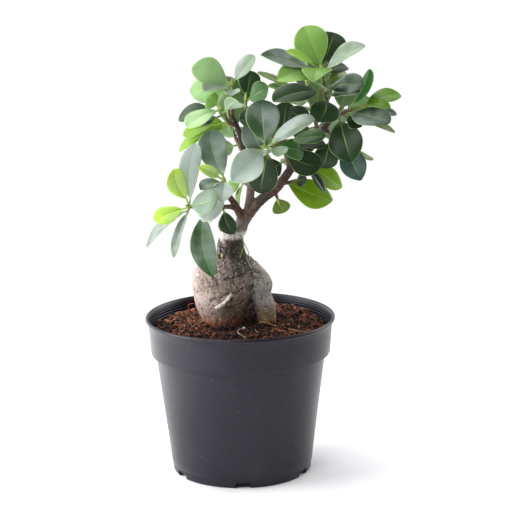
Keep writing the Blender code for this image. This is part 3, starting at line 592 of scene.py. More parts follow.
# Each stem: the way its leaves face, its path, how much of it is the branch's spur, its radius at
# both ends, its leaves. Each leaf: share along the twig, tip, width, turn, fold, arch, sway, stalk,
# tone and, where it is given, the taper of the tip.
STEMS = {
    "shoot_top": (FRONT, ((58.3, 6, 224.6), (55.8, 6, 233.2), (54, 6, 243), (52.7, 5, 254.3)),
                  2.4, (1.6, 1.1), (
        (1.00, (42, 10, 281), 22, 8, 8, 1.5, 0, 4, "bright"),
        (1.00, (61, 20, 276), 20, 0, 10, 1, 0, 4, "deep"),
        (0.97, (79, 0, 270), 17, -50, 22, 1, 0, 4, "sheen", 0.74),
        (1.00, (31, -4, 268), 9, 50, 15, 1, 0, 6, "fresh", 0.7),
        (0.94, (15, -6, 266), 18, 55, 10, 1, 0, 8, "slate", 0.72),
        (0.88, (25, -16, 252), 17, 40, 15, 3, 0, 8, "bright"),
        (0.95, (47, -21, 251), 19, 0, 10, 5, 0, 3, "leafy", 0.66),
        (0.90, (68, 20, 255), 14, -40, 10, 1, 0, 4, "deep"),
        (0.78, (72, 27, 246), 14, -30, 10, 2, 0, 5, "olive"),
        (0.52, (57, -20, 246), 22, 0, 27, 1, 0, 3, "slate"),
        (0.60, (78, -8, 247), 18, -42, 14, 1, 0, 4, "slate"),
        (0.42, (75, -13, 242), 15, -62, 10, 1, 0, 4, "slate"),
        (0.56, (22, -14, 238), 21, 48, 12, 2, 0, 5, "dark"),
        (0.36, (50, -16, 226), 19, 0, 8, 2, 2, 3, "dark"))),
    "shoot_right": (FRONT, ((57, 6, 222), (64.5, 7, 226.5), (71.3, 7, 229), (77, 6, 231)), 4.4, (1.4, 0.9), (
        (0.55, (83, 6, 254), 16, 60, 14, -1, -3, 4, "green"),
        (1.00, (102, 14, 237), 17, -52, 12, 2, 0, 4, "apple"),
        (1.00, (94, -6, 232), 10, -50, 12, 3, 0, 3, "apple"),
        (0.95, (99, 6, 226), 15, -62, 10, 1, 0, 4, "slate"),
        (0.43, (93, -14, 224), 21, -44, 8, 1, 0, 4, "slate"),
        (0.32, (98, 2, 216), 12, -62, 8, 1, 0, 5, "olive"),
        (0.25, (77, 2, 219), 15, -40, 8, 1, 0, 4, "deep"),
        (0.12, (70, -8, 199), 22, 8, 8, 1, 0, 4, "dark", 0.78))),
    "shoot_right_low": (FRONT, ((54.2, 6, 217.5), (59, 9, 213), (66, 11, 208)), 3.4, (1.3, 0.9), (
        (1.00, (77, 8, 184), 17, 10, 10, 1, 0, 3, "teal", 0.85),
        (0.92, (85, 14, 196), 11, 72, 10, 1, 0, 3, "olive"),
        (0.28, (53, 8, 192), 16, 0, 8, 1, 0, 5, "dark"), (0.75, (63, 17, 195), 13, 0, 8, 1, 0, 3, "deep"))),
    "shoot_front": (FRONT, ((44.5, 5, 204.8), (37, -1, 209), (28.7, -9, 212.6), (21, -16, 210),
                            (16.8, -20, 211)), 3.8, (1.5, 1.0), (
        (1.00, (15, -13, 239), 21, 0, 6, -1, 0, 3, "slate"),
        (0.97, (47, -28, 229), 17, -52, 14, 2, 0, 4, "dull_sheen"),
        (1.00, (-3.5, -34, 192.5), 20.5, -4, 22, 2, 0, 3, "pale_sheen", 0.76),
        (0.90, (13, -14, 181), 19, 0, 8, 1, 0, 4, "deep"),
        (0.95, (30, -28, 209), 11, -40, 20, -2, 0, 3, "sheen"),
        (0.80, (41, -9, 206), 15, -25, 8, 1, 0, 4, "mid"),
        (0.68, (51, -4, 196), 18, -25, 8, -2, -3, 5, "dark"),
        (0.46, (54, -14, 216), 15, -48, 10, 1, 0, 4, "mid"),
        (0.36, (54, -7, 211), 12, -50, 8, -1, 0, 4, "deep"))),
    "shoot_centre": (FRONT, ((3, 8, 206), (4.5, 13, 214), (5, 14, 226), (5.5, 12, 236)), 5.2, (1.2, 0.9), (
        (0.66, (14, 1, 205), 17, 0, 8, 1, 0, 4, "slate"), (1.00, (9, 16, 253), 14, 0, 8, 1, 0, 2, "dark"),
        (0.95, (15, 24, 246), 15, -10, 8, 1, 0, 2, "deep"), (0.95, (19, 2, 244), 14, -20, 10, 1, 0, 3, "mid"),
        (0.90, (8, 0, 221), 12, 10, 8, 1, 0, 3, "dark"), (0.80, (15, 6, 222), 15, 0, 8, 1, 0, 3, "deep"))),
    "shoot_upper_left": (FRONT, ((-3, 5, 226), (-3.1, 3, 235.7), (-3, 1, 243.4), (-2.9, 0, 247)),
                         2.2, (1.2, 0.9), (
        (1.00, (-27.5, -6, 258), 19, 20, 8, 1, -1.5, 3, "soft"),
        (1.00, (11, 4, 264), 14, -42, 18, 0, 0, 3, "sheen"),
        (0.97, (-20, -16, 245), 14, 55, 14, 1, 0, 4, "sheen"),
        (0.68, (-29, 2, 244), 20, 28, 8, 1, 0, 5, "soft"),
        (0.82, (-3, -18, 242), 12, 0, 28, 0, 0, 3, "sheen"),
        (1.00, (-14, 20, 250), 15, 10, 8, 1, 0, 4, "deep"))),
    "shoot_left": (FRONT, ((-0.2, 7.2, 219.5), (-5, 0, 223), (-8, -5, 229), (-10, -8, 233.5)),
                   4.4, (1.2, 0.9), (
        (0.95, (-36, -8, 226), 15, 48, 10, 4, 0, 5, "dark"),
        (1.00, (-30, -24, 224), 16, 45, 12, 2, 0, 4, "soft"),
        (0.80, (2, -24, 240), 12, -34, 12, 2, 0, 3, "sheen"),
        (0.70, (-25, -14, 224), 14, 60, 10, 1, 0, 5, "slate"),
        (0.34, (-34, 0, 216), 12, 40, 8, 1, 0, 9, "sunlit"),
        (0.16, (-25, 8, 219), 14, 15, 10, 1, 0, 4, "sunlit"),
        (0.16, (-8, 2, 214), 10, 0, 8, 0, 0, 2, "soft"), (1.00, (-18, -9, 240), 12, 15, 8, 1, 0, 3, "bright"),
        (0.20, (-37, 6, 205), 9, 40, 8, 3, 0, 12, "sunlit"))),
    "shoot_left_tall": (FRONT, ((-5.9, 0, 177.2), (-7.6, -7, 184), (-8.6, -13, 189.6)), 2.4, (1.5, 1.1), (
        (1.00, (-17, -8, 220), 19, 8, 10, -1, 1.5, 3, "grey_sheen"),
        (1.00, (-23, -24, 200), 8, 10, 25, 2, 0, 5, "lime"),
        (0.94, (-23, -22, 186), 12, 48, 16, 1, 0, 3, "slate"),
        (0.94, (-10, -30, 179), 15, 0, 24, 1, 0, 2, "bright_sheen"),
        (0.70, (-21, -30, 167), 15, 20, 8, 1, 0, 4, "bright_sheen"),
        (0.50, (-27, 11, 155.5), 13, 10, 8, 1, 0, 4, "bright_sheen"))),
    "shoot_low_left": (FRONT, ((-0.8, 2, 168.2), (-6.5, -2.5, 170.6), (-15, -7.5, 170.6), (-23.4, -14, 172),
                                (-30, -24, 175.6)),
                       6.2, (1.5, 0.9), (
        (1.00, (-25, -20, 214), 14, 20, 8, -1, 2.5, 5, "bright_sheen"),
        (1.00, (-38, -32, 200), 13, 15, 10, 0, 2.2, 6, "lime"),
        (1.00, (-51, -34, 169), 13, 28, 10, 1, 0, 5, "lime"),
        (1.00, (-12, -38, 184), 16, -22, 8, 1, -1.5, 2, "mint"),
        (0.95, (-58, -24, 150), 13, 60, 12, 3, 0, 4, "dull_sheen", 0.8),
        (1.00, (-40, -30, 145), 12, 58, 12, 1, 0, 5, "dull_sheen", 0.8),
        (0.58, (-16, -26, 131), 16, 0, 10, 1, -3.5, 4, "moor", 0.8),
        (0.16, (-3, -7, 154), 11, 0, 8, 1, -1.5, 3, "dark", 0.7))),
    "shoot_under": (FRONT, ((26.6, 3.3, 184.4), (30, 6.5, 183.4), (35, 10, 184)), 4.3, (1.2, 0.9), (
        (0.12, (60, 14, 171), 19, -20, 8, 1, -2, 1, "sunlit", 0.8),
        (1.00, (42, 15, 180), 10, 0, 8, 0, 0, 2, "deep"),
        (1.00, (42, 3, 186), 9, -10, 8, 0, 0, 2, "deep"))),
    "shoot_under_right": (FRONT, ((37, 5, 197.8), (41, 8.5, 195), (43.5, 10, 193)), 3.8, (1.2, 0.9), (
        (1.00, (66, 18, 178), 15, -25, 8, 1, 0, 3, "sunlit", 0.8),
        (0.70, (54, 2, 177), 9, -50, 10, 1, 0, 3, "deep", 0.8))),
    "sprig_olive": (FRONT, ((22.5, 2.9, 179.8), (24.4, 1.4, 174.4)), 4.2, (1.0, 0.9), (
        (0.7, (28, 2, 165), 12, 0, 10, 1, 0, 0.5, "olive"),)),
    "sprig_behind": (FRONT, ((7.6, 3, 181.5), (4.5, 7.5, 183.2), (2.5, 11, 184)), 4.4, (1.0, 0.9), (
        (1.00, (-7, 13, 178), 9, 20, 8, 1, 0, 2, "bright"),
        (0.80, (-1, 9, 169), 6, 55, 8, 1, 0, 2, "olive"))),
    "shoot_back_top": (BACK, ((50.5, 5.4, 212.5), (49, 14, 220), (46, 22, 232), (44, 27, 243)),
                       4.2, (1.4, 0.9), (
        (1.00, (58, 32, 262), 18, 0, 8, 2, 0, 4, "dark"), (1.00, (36, 40, 262), 20, 0, 8, 2, 0, 4, "mid"),
        (0.90, (64, 42, 244), 18, 0, 8, 2, 0, 4, "slate"), (0.80, (44, 56, 246), 20, 0, 8, 3, 0, 4, "dark"),
        (0.65, (24, 46, 234), 20, 0, 8, 2, 0, 4, "dark"), (0.45, (50, 48, 222), 19, 0, 8, 2, 0, 4, "mid"),
        (0.70, (13, 16, 252), 14, -78, 10, 1, 0, 8, "olive"),
        (0.70, (19, 18, 243), 11, -80, 10, 1, 0, 12, "bright"),
        (0.25, (32, 14, 228), 15, 180, 8, 1, 0, 3, "deep"), (0.30, (53, 22, 247), 17, 0, 8, 1, 0, 4, "dark"),
        (0.10, (33, 13, 215), 13, 180, 8, 1, 0, 4, "dark"))),
    "shoot_back_left": (BACK, ((4.8, 6.8, 200), (1, 15, 206), (-4, 22, 216), (-6, 26, 226)),
                        5.8, (1.4, 0.9), (
        (1.00, (-14, 34, 246), 18, 0, 8, 2, 0, 4, "mid"), (1.00, (8, 38, 244), 19, 0, 8, 2, 0, 4, "dark"),
        (0.80, (-4, 54, 228), 20, 0, 8, 3, 0, 4, "slate"), (0.60, (-20, 42, 214), 18, 0, 8, 2, 0, 4, "green"),
        (0.45, (12, 44, 210), 18, 0, 8, 2, 0, 4, "dark"),
        (0.50, (-4, 28, 238), 19, 0, 8, 2, 0, 4, "deep"), (0.20, (-17, 22, 201), 16, 0, 8, 1, 0, 4, "dark"))),
    "shoot_back_low": (BACK, ((32, 4.2, 191.5), (31, 13, 196), (28, 22, 204), (26, 27, 209)),
                       4.2, (1.4, 0.9), (
        (1.00, (20, 36, 228), 18, 0, 8, 2, 0, 4, "dark"), (0.90, (32, 54, 210), 20, 0, 8, 3, 0, 4, "mid"),
        (0.55, (14, 46, 194), 18, 0, 8, 2, 0, 4, "slate"), (0.35, (38, 42, 184), 18, 0, 8, 2, 0, 4, "dark"),
        (0.55, (12, 22, 217), 19, 0, 8, 2, 0, 4, "deep"), (0.85, (31, 17, 233), 19, 180, 8, 1, 0, 4, "dark"),
        (0.25, (17, 17, 190), 16, 180, 8, 1, 0, 4, "dark"))),
    "shoot_back_right": (BACK, ((55.6, 6, 220.4), (60, 15, 224), (66, 22, 228), (68, 26, 232)),
                         4.0, (1.3, 0.9), (
        (1.00, (74, 36, 246), 16, 0, 8, 2, 0, 3, "mid"), (0.95, (84, 38, 224), 17, 0, 8, 2, 0, 4, "green"),
        (0.70, (68, 50, 214), 18, 0, 8, 3, 0, 4, "dark"), (0.35, (58, 36, 206), 17, 0, 8, 2, 0, 4, "slate"),
        (0.50, (72, 24, 243), 18, 0, 8, 2, 0, 4, "deep"))),
}


def waxy_leaf():
    """Leaf finish: the leaf's tone, paler below and on the edge, midrib and veins, with a painted sheen."""
    finish, tree, shader, where = start_finish("ficus_leaf")
    tint = node(tree, "ShaderNodeAttribute", attribute_name="tone")
    chart = node(tree, "ShaderNodeUVMap", uv_map="blade").outputs[0]
    along, over, _ = node(tree, "ShaderNodeSeparateXYZ", ((0, chart),)).outputs
    off_rib = calc(tree, "ABSOLUTE", times(tree, calc(tree, "SUBTRACT", over, 0.5), 2.0))
    upper = node(tree, "ShaderNodeAttribute", attribute_name="side").outputs["Fac"]
    cloudy = grain(tree, where, 75.0, 4.0)
    fine = grain(tree, where, 900.0, 3.0)
    value = calc(tree, "ADD", times(tree, cloudy, 0.8), 0.6)
    shade = node(tree, "ShaderNodeHueSaturation",
                 (("Value", value), ("Color", tint.outputs["Color"]))).outputs[0]
    below = blend_colour(tree, 0.45, shade, paint(140, 170, 112))
    base = blend_colour(tree, upper, below, shade)
    # Painted sheen: pale patches for the light that the glossy blade reflects, fading out towards the tip.
    painted_sheen = times(tree, ramp(tree, grain(tree, where, 50.0, 2.0), 0.34, 0.62), tint.outputs["Alpha"])
    painted_sheen = times(tree, painted_sheen, ramp(tree, along, 1.0, 0.66))
    painted_sheen = times(tree, painted_sheen, calc(tree, "ADD", times(tree, fine, 0.6), 0.6))
    base = blend_colour(tree, times(tree, painted_sheen, 0.7), base, paint(192, 203, 199))
    slant = calc(tree, "SUBTRACT", along, times(tree, off_rib, 0.16))
    waves = calc(tree, "ABSOLUTE", calc(tree, "SINE", times(tree, slant, 34.0)))
    vein = times(tree, ramp(tree, waves, 0.13, 0.0), ramp(tree, off_rib, 0.95, 0.6))
    rib = ramp(tree, off_rib, 0.052, 0.012)
    rib = times(tree, rib, ramp(tree, along, 1.0, 0.5))
    foot = times(tree, ramp(tree, along, 0.16, 0.0), 0.35)
    lines = calc(tree, "MAXIMUM", times(tree, vein, 0.1), times(tree, rib, 0.5))
    base = blend_colour(tree, calc(tree, "MAXIMUM", lines, foot), base, paint(158, 190, 104))
    edge = times(tree, ramp(tree, off_rib, 0.95, 0.998), 0.65)
    base = blend_colour(tree, edge, base, paint(180, 204, 120))
    spots = times(tree, ramp(tree, grain(tree, where, 900.0, 1.0), 0.75, 0.8), 0.3)
    base = blend_colour(tree, spots, base, paint(206, 212, 196))
    tree.links.new(base, shader.inputs["Base Color"])
    rough = calc(tree, "ADD", times(tree, fine, 0.16), 0.27)
    rough = calc(tree, "ADD", rough, times(tree, calc(tree, "SUBTRACT", 1.0, upper), 0.2))
    tree.links.new(rough, shader.inputs["Roughness"])
    shader.inputs["Specular IOR Level"].default_value = 0.26
    shader.inputs["Subsurface Weight"].default_value = 0.08
    shader.inputs["Subsurface Radius"].default_value = (0.5, 1.0, 0.2)
    shader.inputs["Subsurface Scale"].default_value = 0.0015
    relief = calc(tree, "SUBTRACT", times(tree, fine, 0.35), times(tree, vein, 0.5))
    roughen(tree, shader, relief, 0.25, 0.0003)
    return finish


leaf_finish = waxy_leaf()
temper = np.random.default_rng(7)
edge_to_edge = np.concatenate((-ACROSS[:0:-1], ACROSS))
ring_v = np.concatenate((edge_to_edge, edge_to_edge[-2:0:-1]))
ring_up = np.concatenate((np.ones(len(edge_to_edge)), -np.ones(len(edge_to_edge) - 2)))
ring_up[[0, len(edge_to_edge) - 1]] = 0.0
blade_s = (1 - np.cos(np.linspace(0, math.pi, BLADE_ROWS))) / 2


def blade_outline(tip_taper):
    """Half width along a blade, 1 at its widest: s to the base taper times (1 - s) to the tip taper."""
    peak = BASE_TAPER / (BASE_TAPER + tip_taper)
    share = blade_s ** BASE_TAPER * (1 - blade_s) ** tip_taper
    share = share / (peak ** BASE_TAPER * (1 - peak) ** tip_taper)
    share = np.sqrt(share ** 2 + (0.09 * (1 - blade_s)) ** 2)
    share[-1] = 0.012
    return share


def one_leaf(start, leaf, faces):
    """Points of a stalk and its blade.

    The blade's midrib bows by arch and sway between its ends and its tip curls down. Across it, the
    height follows a softened V by the fold, less a round crown, the rim waves a little, the
    thickness thins to the rim, and the midrib is sunk above and stands out below.
    """
    _, tip, width, turn_by, fold, arch, sway, stalk, tone, *given = leaf
    share = blade_outline(given[0] if given else temper.uniform(*TIP_TAPERS))
    span = np.array(tip, float) - start
    size = np.linalg.norm(span)
    along = span / size
    if abs(along.dot(FRONT)) > END_ON:
        faces = UP
    up = faces - along * faces.dot(along)
    up /= np.linalg.norm(up)
    t = math.radians(turn_by)
    up = up * math.cos(t) + np.cross(along, up) * math.sin(t)
    over = np.cross(up, along)
    bow = 4 * blade_s * (1 - blade_s)
    spine = start + along * (stalk + blade_s * (size - stalk))[:, None]
    curl = temper.uniform(-0.2, 1.3) * ease(blade_s, 0.5, 1.0) ** 2
    spine = spine + up * (arch * bow - curl)[:, None] + over * (sway * bow)[:, None]
    v = ring_v[None]
    half = (width / 2 * share)[:, None]
    vee = (np.sqrt(v ** 2 + 0.02) - 0.02 ** 0.5) / (1.02 ** 0.5 - 0.02 ** 0.5)
    cupped = -temper.uniform(0.0, 0.085) * width
    phase = temper.uniform(0, 2 * math.pi, 2)
    wave = np.sin(7.5 * blade_s[:, None] + np.where(v > 0, phase[0], phase[1])) * v ** 2 * 0.03 * width
    lift = half * math.sin(math.radians(fold)) * vee + wave + cupped * v ** 2 * (half / (width / 2)) ** 2
    reach = half * math.cos(math.radians(fold)) * v
    thin = BLADE_THICK / 2 * np.sqrt(np.clip(1 - np.abs(v) ** 4, 0, 1))
    thin = thin * (0.3 + 0.7 * np.minimum(1, 2 * share))[:, None]
    rib = np.exp(-(v / 0.07) ** 2) * (1 - blade_s[:, None]) ** 0.5
    raised = thin * ring_up - 0.22 * rib * (ring_up > 0) - 0.34 * rib * (ring_up < 0)
    blade = spine[:, None] + over * reach[..., None] + up * (lift + raised)[..., None]
    base = spine[0] - up * (0.1 * arch)
    stem = np.linspace(0, 1, STALK_ROWS)[:, None] * (base - start) + start
    stem = stem - up * (0.25 * np.sin(np.linspace(0, math.pi, STALK_ROWS)))[:, None]
    stem = np.vstack((stem, base + along * 1.2))
    uv = np.stack(np.broadcast_arrays(blade_s[:, None], (v + 1) / 2), -1)
    side = np.broadcast_to((ring_up > -0.5)[None].astype(float), uv.shape[:2])
    return blade.reshape(-1, 3), uv.reshape(-1, 2), side.ravel(), stem, np.array(TONES[tone])


def tone_at(tone):
    """The tone of one leaf and its share of painted sheen, shifted a little in brightness from leaf to leaf.
    """
    shift = temper.uniform(0.9, 1.1)
    return np.append(bare(*tone[:3]) * shift, tone[3])


def leafy_stem(name, faces, course, spur, thick, leaves):
    """One stem: its twig with a bud at the tip, then the blades and their stalks, as one mesh."""
    path = smooth_path(course, PATH_ROWS)
    run = np.linalg.norm(np.diff(path, axis=0), axis=1).sum()
    twig = evenly(path, spur + 0.3, None, TWIG_ROWS)
    twig_run = np.linalg.norm(np.diff(twig, axis=0), axis=1).sum()
    ahead_way = (twig[-1] - twig[-4]) / np.linalg.norm(twig[-1] - twig[-4])
    back = evenly(path, spur - SPUR_LAP, None, TWIG_ROWS)
    nodes_on = 1 + 0.12 * np.cos(np.linspace(0, run * 1.3, TWIG_ROWS)) ** 6
    parts, faces_out, colours, sides, uvs, corner = [], [], [], [], [], 0

    def add(points, quads, colour, side, uv):
        """Add one closed shape; its colour, side and uv are rows, or one value for all its points."""
        nonlocal corner
        parts.append(points)
        faces_out.extend([[i + corner for i in face] for face in quads])
        colours.append(np.broadcast_to(colour, (len(points), 4)))
        sides.append(np.broadcast_to(side, len(points)))
        uvs.append(np.broadcast_to(uv, (len(points), 2)))
        corner += len(points)

    def add_tube(course_points, radii, count, tone):
        """Add one tube that shows no rib or vein."""
        add(*tubes(course_points[None], radii[None], count), tone, 1.0, 0.25)

    young = ease(np.linspace(0, 1, TWIG_ROWS), 0.45, 1.0)[:, None]
    wood_tone = bare(96, 76, 62) * (1 - young) + bare(118, 140, 70) * young
    wood_tone = np.repeat(np.column_stack((wood_tone, np.zeros(TWIG_ROWS))), TWIG_SIDES, axis=0)
    add_tube(back, np.linspace(*thick, TWIG_ROWS) * nodes_on, TWIG_SIDES, wood_tone)
    bud = twig[-1] + ahead_way * np.linspace(-0.8, 5.0, len(BUD_SHAPE))[:, None]
    add_tube(bud, thick[1] * BUD_SHAPE, BUD_SIDES, np.append(bare(150, 168, 84), 0.0))
    blade_faces = ring_faces(BLADE_ROWS, len(ring_v)).tolist()
    blade_faces.append(list(range(len(ring_v)))[::-1])
    blade_faces.append([(BLADE_ROWS - 1) * len(ring_v) + i for i in range(len(ring_v))])
    for leaf in leaves:
        start = evenly(twig, leaf[0] * twig_run, None, 2)[0]
        points, uv, side, stem, tone = one_leaf(start, leaf, faces)
        add(points, blade_faces, tone_at(tone), side, uv)
        green = np.append(bare(*tone[:3]) * 0.6 + bare(168, 190, 110) * 0.4, 0.0)
        add_tube(stem, STALK_RADIUS * STALK_SHAPE, STALK_SIDES, green)
    piece = skin(name + "_leaves", np.vstack(parts), faces_out, leaf_finish)
    colour_points(piece, "tone", np.vstack(colours))
    layer = piece.data.attributes.new("side", "FLOAT", "POINT")
    layer.data.foreach_set("value", np.concatenate(sides).astype(np.float32))
    corners = np.empty(len(piece.data.loops), np.int32)
    piece.data.loops.foreach_get("vertex_index", corners)
    chart = piece.data.uv_layers.new(name="blade")
    chart.data.foreach_set("uv", np.vstack(uvs)[corners].astype(np.float32).ravel())
    return piece


for stem_name, (faces, course, spur, thick, leaves) in STEMS.items():
    stem_piece = leafy_stem(stem_name, faces, course, spur, thick, leaves)
    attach(stem_piece, "root")
    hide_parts(stem_name)


# The root, the graft and the branches grew together, so they are one skin: closed tubes laid
# along the same centre lines as the solid's, grown into one and then furrowed, creased and
# ringed by formula. The root is stacked from level rings: (x, y, z, half width, depth to width).
BULB = (
    (-9, 1, 76, 7, 0.9), (-10, 1, 84, 10, 0.9), (-10.7, 1, 92, 11.8, 0.9), (-11.1, 1, 97, 13.4, 0.9),
    (-11.2, 1, 103, 15.2, 0.88), (-10.8, 1.5, 108.5, 17.4, 0.86), (-10.3, 2, 114, 18.9, 0.84),
    (-10.6, 2, 121, 19.2, 0.84), (-10.6, 2, 128, 18.6, 0.83), (-9.5, 2, 132.5, 16, 0.88),
    (-6.4, 2, 136.8, 11, 0.95), (-5.7, 2, 141, 8.6, 1.0), (-6.0, 2, 146, 7.6, 1.0),
    (-6.1, 2, 149.5, 6.4, 1.0),
)
LOBE = (
    (0.5, 7, 139, 3, 1.0), (2.2, 7, 135.5, 5, 1.0), (5, 6, 131.5, 7.4, 1.0), (8.2, 5, 126.5, 9.4, 1.0),
    (10.4, 4.5, 121, 10.3, 1.0), (11.2, 4, 116.5, 9.2, 1.0), (12.6, 3.2, 113, 7.3, 1.0),
    (14.8, 2.4, 108.5, 6.9, 1.0), (16.2, 1.4, 102, 6.5, 1.0), (17.2, 0.4, 97, 5.8, 1.0),
    (17.8, 0, 92, 4.8, 1.0), (18, 0, 80, 3, 1.0),
)
ROOT_ROWS = 90
ROOT_SIDES = 96
CUT_ROOT = ((-3.2, -10.5, 117.7), (-6.3, -15.4, 115.0), (-9.8, -16.8, 112.0), (-14.8, -16.4, 108.4))
CUT_ROOT_RADII = (1.6, 1.45, 1.35, 1.45)
CALLUS = ((-6.1, 2, 147.5, 7.0), (-5.2, 2, 150.3, 7.9), (-3.7, 2, 152.8, 7.4), (-1.5, 2, 155.6, 6.0))
WOOD = {
    "stem": (((-5.4, 2, 144), (-3.6, 2, 150), (0.2, 2, 155), (2.2, 2, 160), (4, 2, 163.5)), 6.2, 3.7),
    "old_stub": (((-6.5, 2, 146), (-9.4, 2, 152), (-10.6, 2, 161)), 4.2, 2.4),
    "left_branch": (((3.2, 2, 160.5), (-1.6, 2, 169.6), (-5.9, 0, 177.2)), 3.2, 1.7),
    "main_branch": (((2.6, 2, 159.5), (10.3, 2, 170), (17.3, 2, 176.3), (23.8, 3, 180.8), (30.6, 4, 189.4),
                     (37, 5, 197.8), (44.5, 5, 204.8), (48, 5, 208.6), (54.6, 6, 219), (58.3, 6, 224.6)),
                    3.6, 1.7),
    "centre_branch": (((5.6, 2, 165), (7.3, 2.5, 176), (7.8, 3.5, 184.6), (6.2, 6, 195), (3, 8, 206),
                       (0.9, 8, 216.5), (-3, 5, 226)), 2.9, 1.3),
}
WOOD_ROWS = 60
WOOD_SIDES = 24
SPUR_ROWS = 10
SKIN_CELL = 0.5
SKIN_EASE = 5
GRAFT = (149.3, 154.6)
CREASES = (
    (((-9.4, 126.6), (-4.0, 127.3), (2.3, 128.8), (6.6, 131.2)), 1.2, 0.8),
    (((-19.8, 121.9), (-14.7, 122.0), (-10.2, 123.2)), 0.7, 0.5),
    (((-4.4, 117.6), (0.2, 118.6), (4.9, 121.3)), 1.1, 0.6),
    (((-7.4, 107.9), (-2.4, 109.3), (3.0, 111.9)), 0.9, 0.65),
    (((-16.8, 113.4), (-12.4, 114.6), (-7.3, 117.7)), 1.3, 0.85),
    (((-3.4, 117.0), (-5.4, 113.6), (-8.0, 111.2)), 0.9, 0.9),
    (((-14.6, 132.0), (-13.6, 126.0), (-12.8, 120.5)), 0.5, 0.45),
    (((-4.0, 134.0), (-3.2, 128.6), (-4.0, 122.0)), 0.5, 0.45),
    (((3.0, 127.0), (2.2, 122.6)), 0.5, 0.45),
    (((5.0, 129.2), (9.5, 129.9), (14.3, 128.6), (17.6, 124.6)), 0.7, 0.5),
    (((6.2, 126.6), (10.4, 126.8), (14.0, 124.6), (16.2, 120.6)), 0.6, 0.5),
    (((7.6, 122.6), (11.0, 121.8), (13.6, 118.6)), 0.6, 0.55),
    (((7.0, 131.0), (8.4, 125.0), (8.5, 118.0), (9.6, 111.0)), 0.6, 0.8),
)
# The darkest tone is both the black bark of the neck and painted shade in the cleft, the creases and the
# splits.
BARK = {
    "silver_and_lit": (184, 166, 159), "rose": (128, 108, 96), "clay": (122, 93, 75), "khaki": (106, 90, 62),
    "char_and_shade": (34, 32, 29), "moss": (62, 64, 52), "stain": (146, 80, 36), "foot": (98, 68, 30),
    "callus": (224, 216, 212), "lobe": (174, 168, 162), "stem": (118, 105, 100), "russet": (98, 67, 52),
    "plum": (52, 41, 36), "ash": (94, 80, 72), "straw": (210, 198, 184), "olive": (120, 98, 46),
}


def level_rings(rows):
    """A closed stack of level rings through the rows, as points and faces."""
    fine = smooth_path(rows, ROOT_ROWS)
    a = np.arange(ROOT_SIDES) * 2 * math.pi / ROOT_SIDES
    x = fine[:, :1] + fine[:, 3:4] * np.cos(a)
    y = fine[:, 1:2] + fine[:, 3:4] * fine[:, 4:5] * np.sin(a)
    points = np.stack([x, y, np.broadcast_to(fine[:, 2:3], x.shape)], -1).reshape(-1, 3)
    faces = ring_faces(ROOT_ROWS, ROOT_SIDES)
    if rows[0][2] > rows[-1][2]:
        faces = faces[:, ::-1]
    last = (ROOT_ROWS - 1) * ROOT_SIDES
    return points, faces.tolist() + [list(range(ROOT_SIDES))[::-1], [last + i for i in range(ROOT_SIDES)]]


def from_line(spots, line):
    """Distance of flat spots from a broken line."""
    best = np.full(len(spots), 1e9)
    for a, b in zip(np.array(line[:-1]), np.array(line[1:])):
        along = np.clip(((spots - a) @ (b - a)) / ((b - a) @ (b - a)), 0, 1)
        best = np.minimum(best, np.linalg.norm(spots - a - along[:, None] * (b - a), axis=1))
    return best


def even_skin(name, shapes):
    """Closed shapes grown into one skin of even small quads, eased a little."""
    points = np.vstack([p for p, _ in shapes])
    starts = np.cumsum([0] + [len(p) for p, _ in shapes])
    faces = [[i + start for i in face] for (_, part), start in zip(shapes, starts) for face in part]
    piece = skin(name, points, faces, bark)
    remesh = piece.modifiers.new("skin", "REMESH")
    remesh.mode = "VOXEL"
    remesh.voxel_size = SKIN_CELL * MM
    smooth = piece.modifiers.new("ease", "SMOOTH")
    smooth.factor = 0.5
    smooth.iterations = SKIN_EASE
    made = bpy.data.meshes.new_from_object(piece.evaluated_get(bpy.context.evaluated_depsgraph_get()))
    piece.modifiers.clear()
    piece.data = made
    return piece


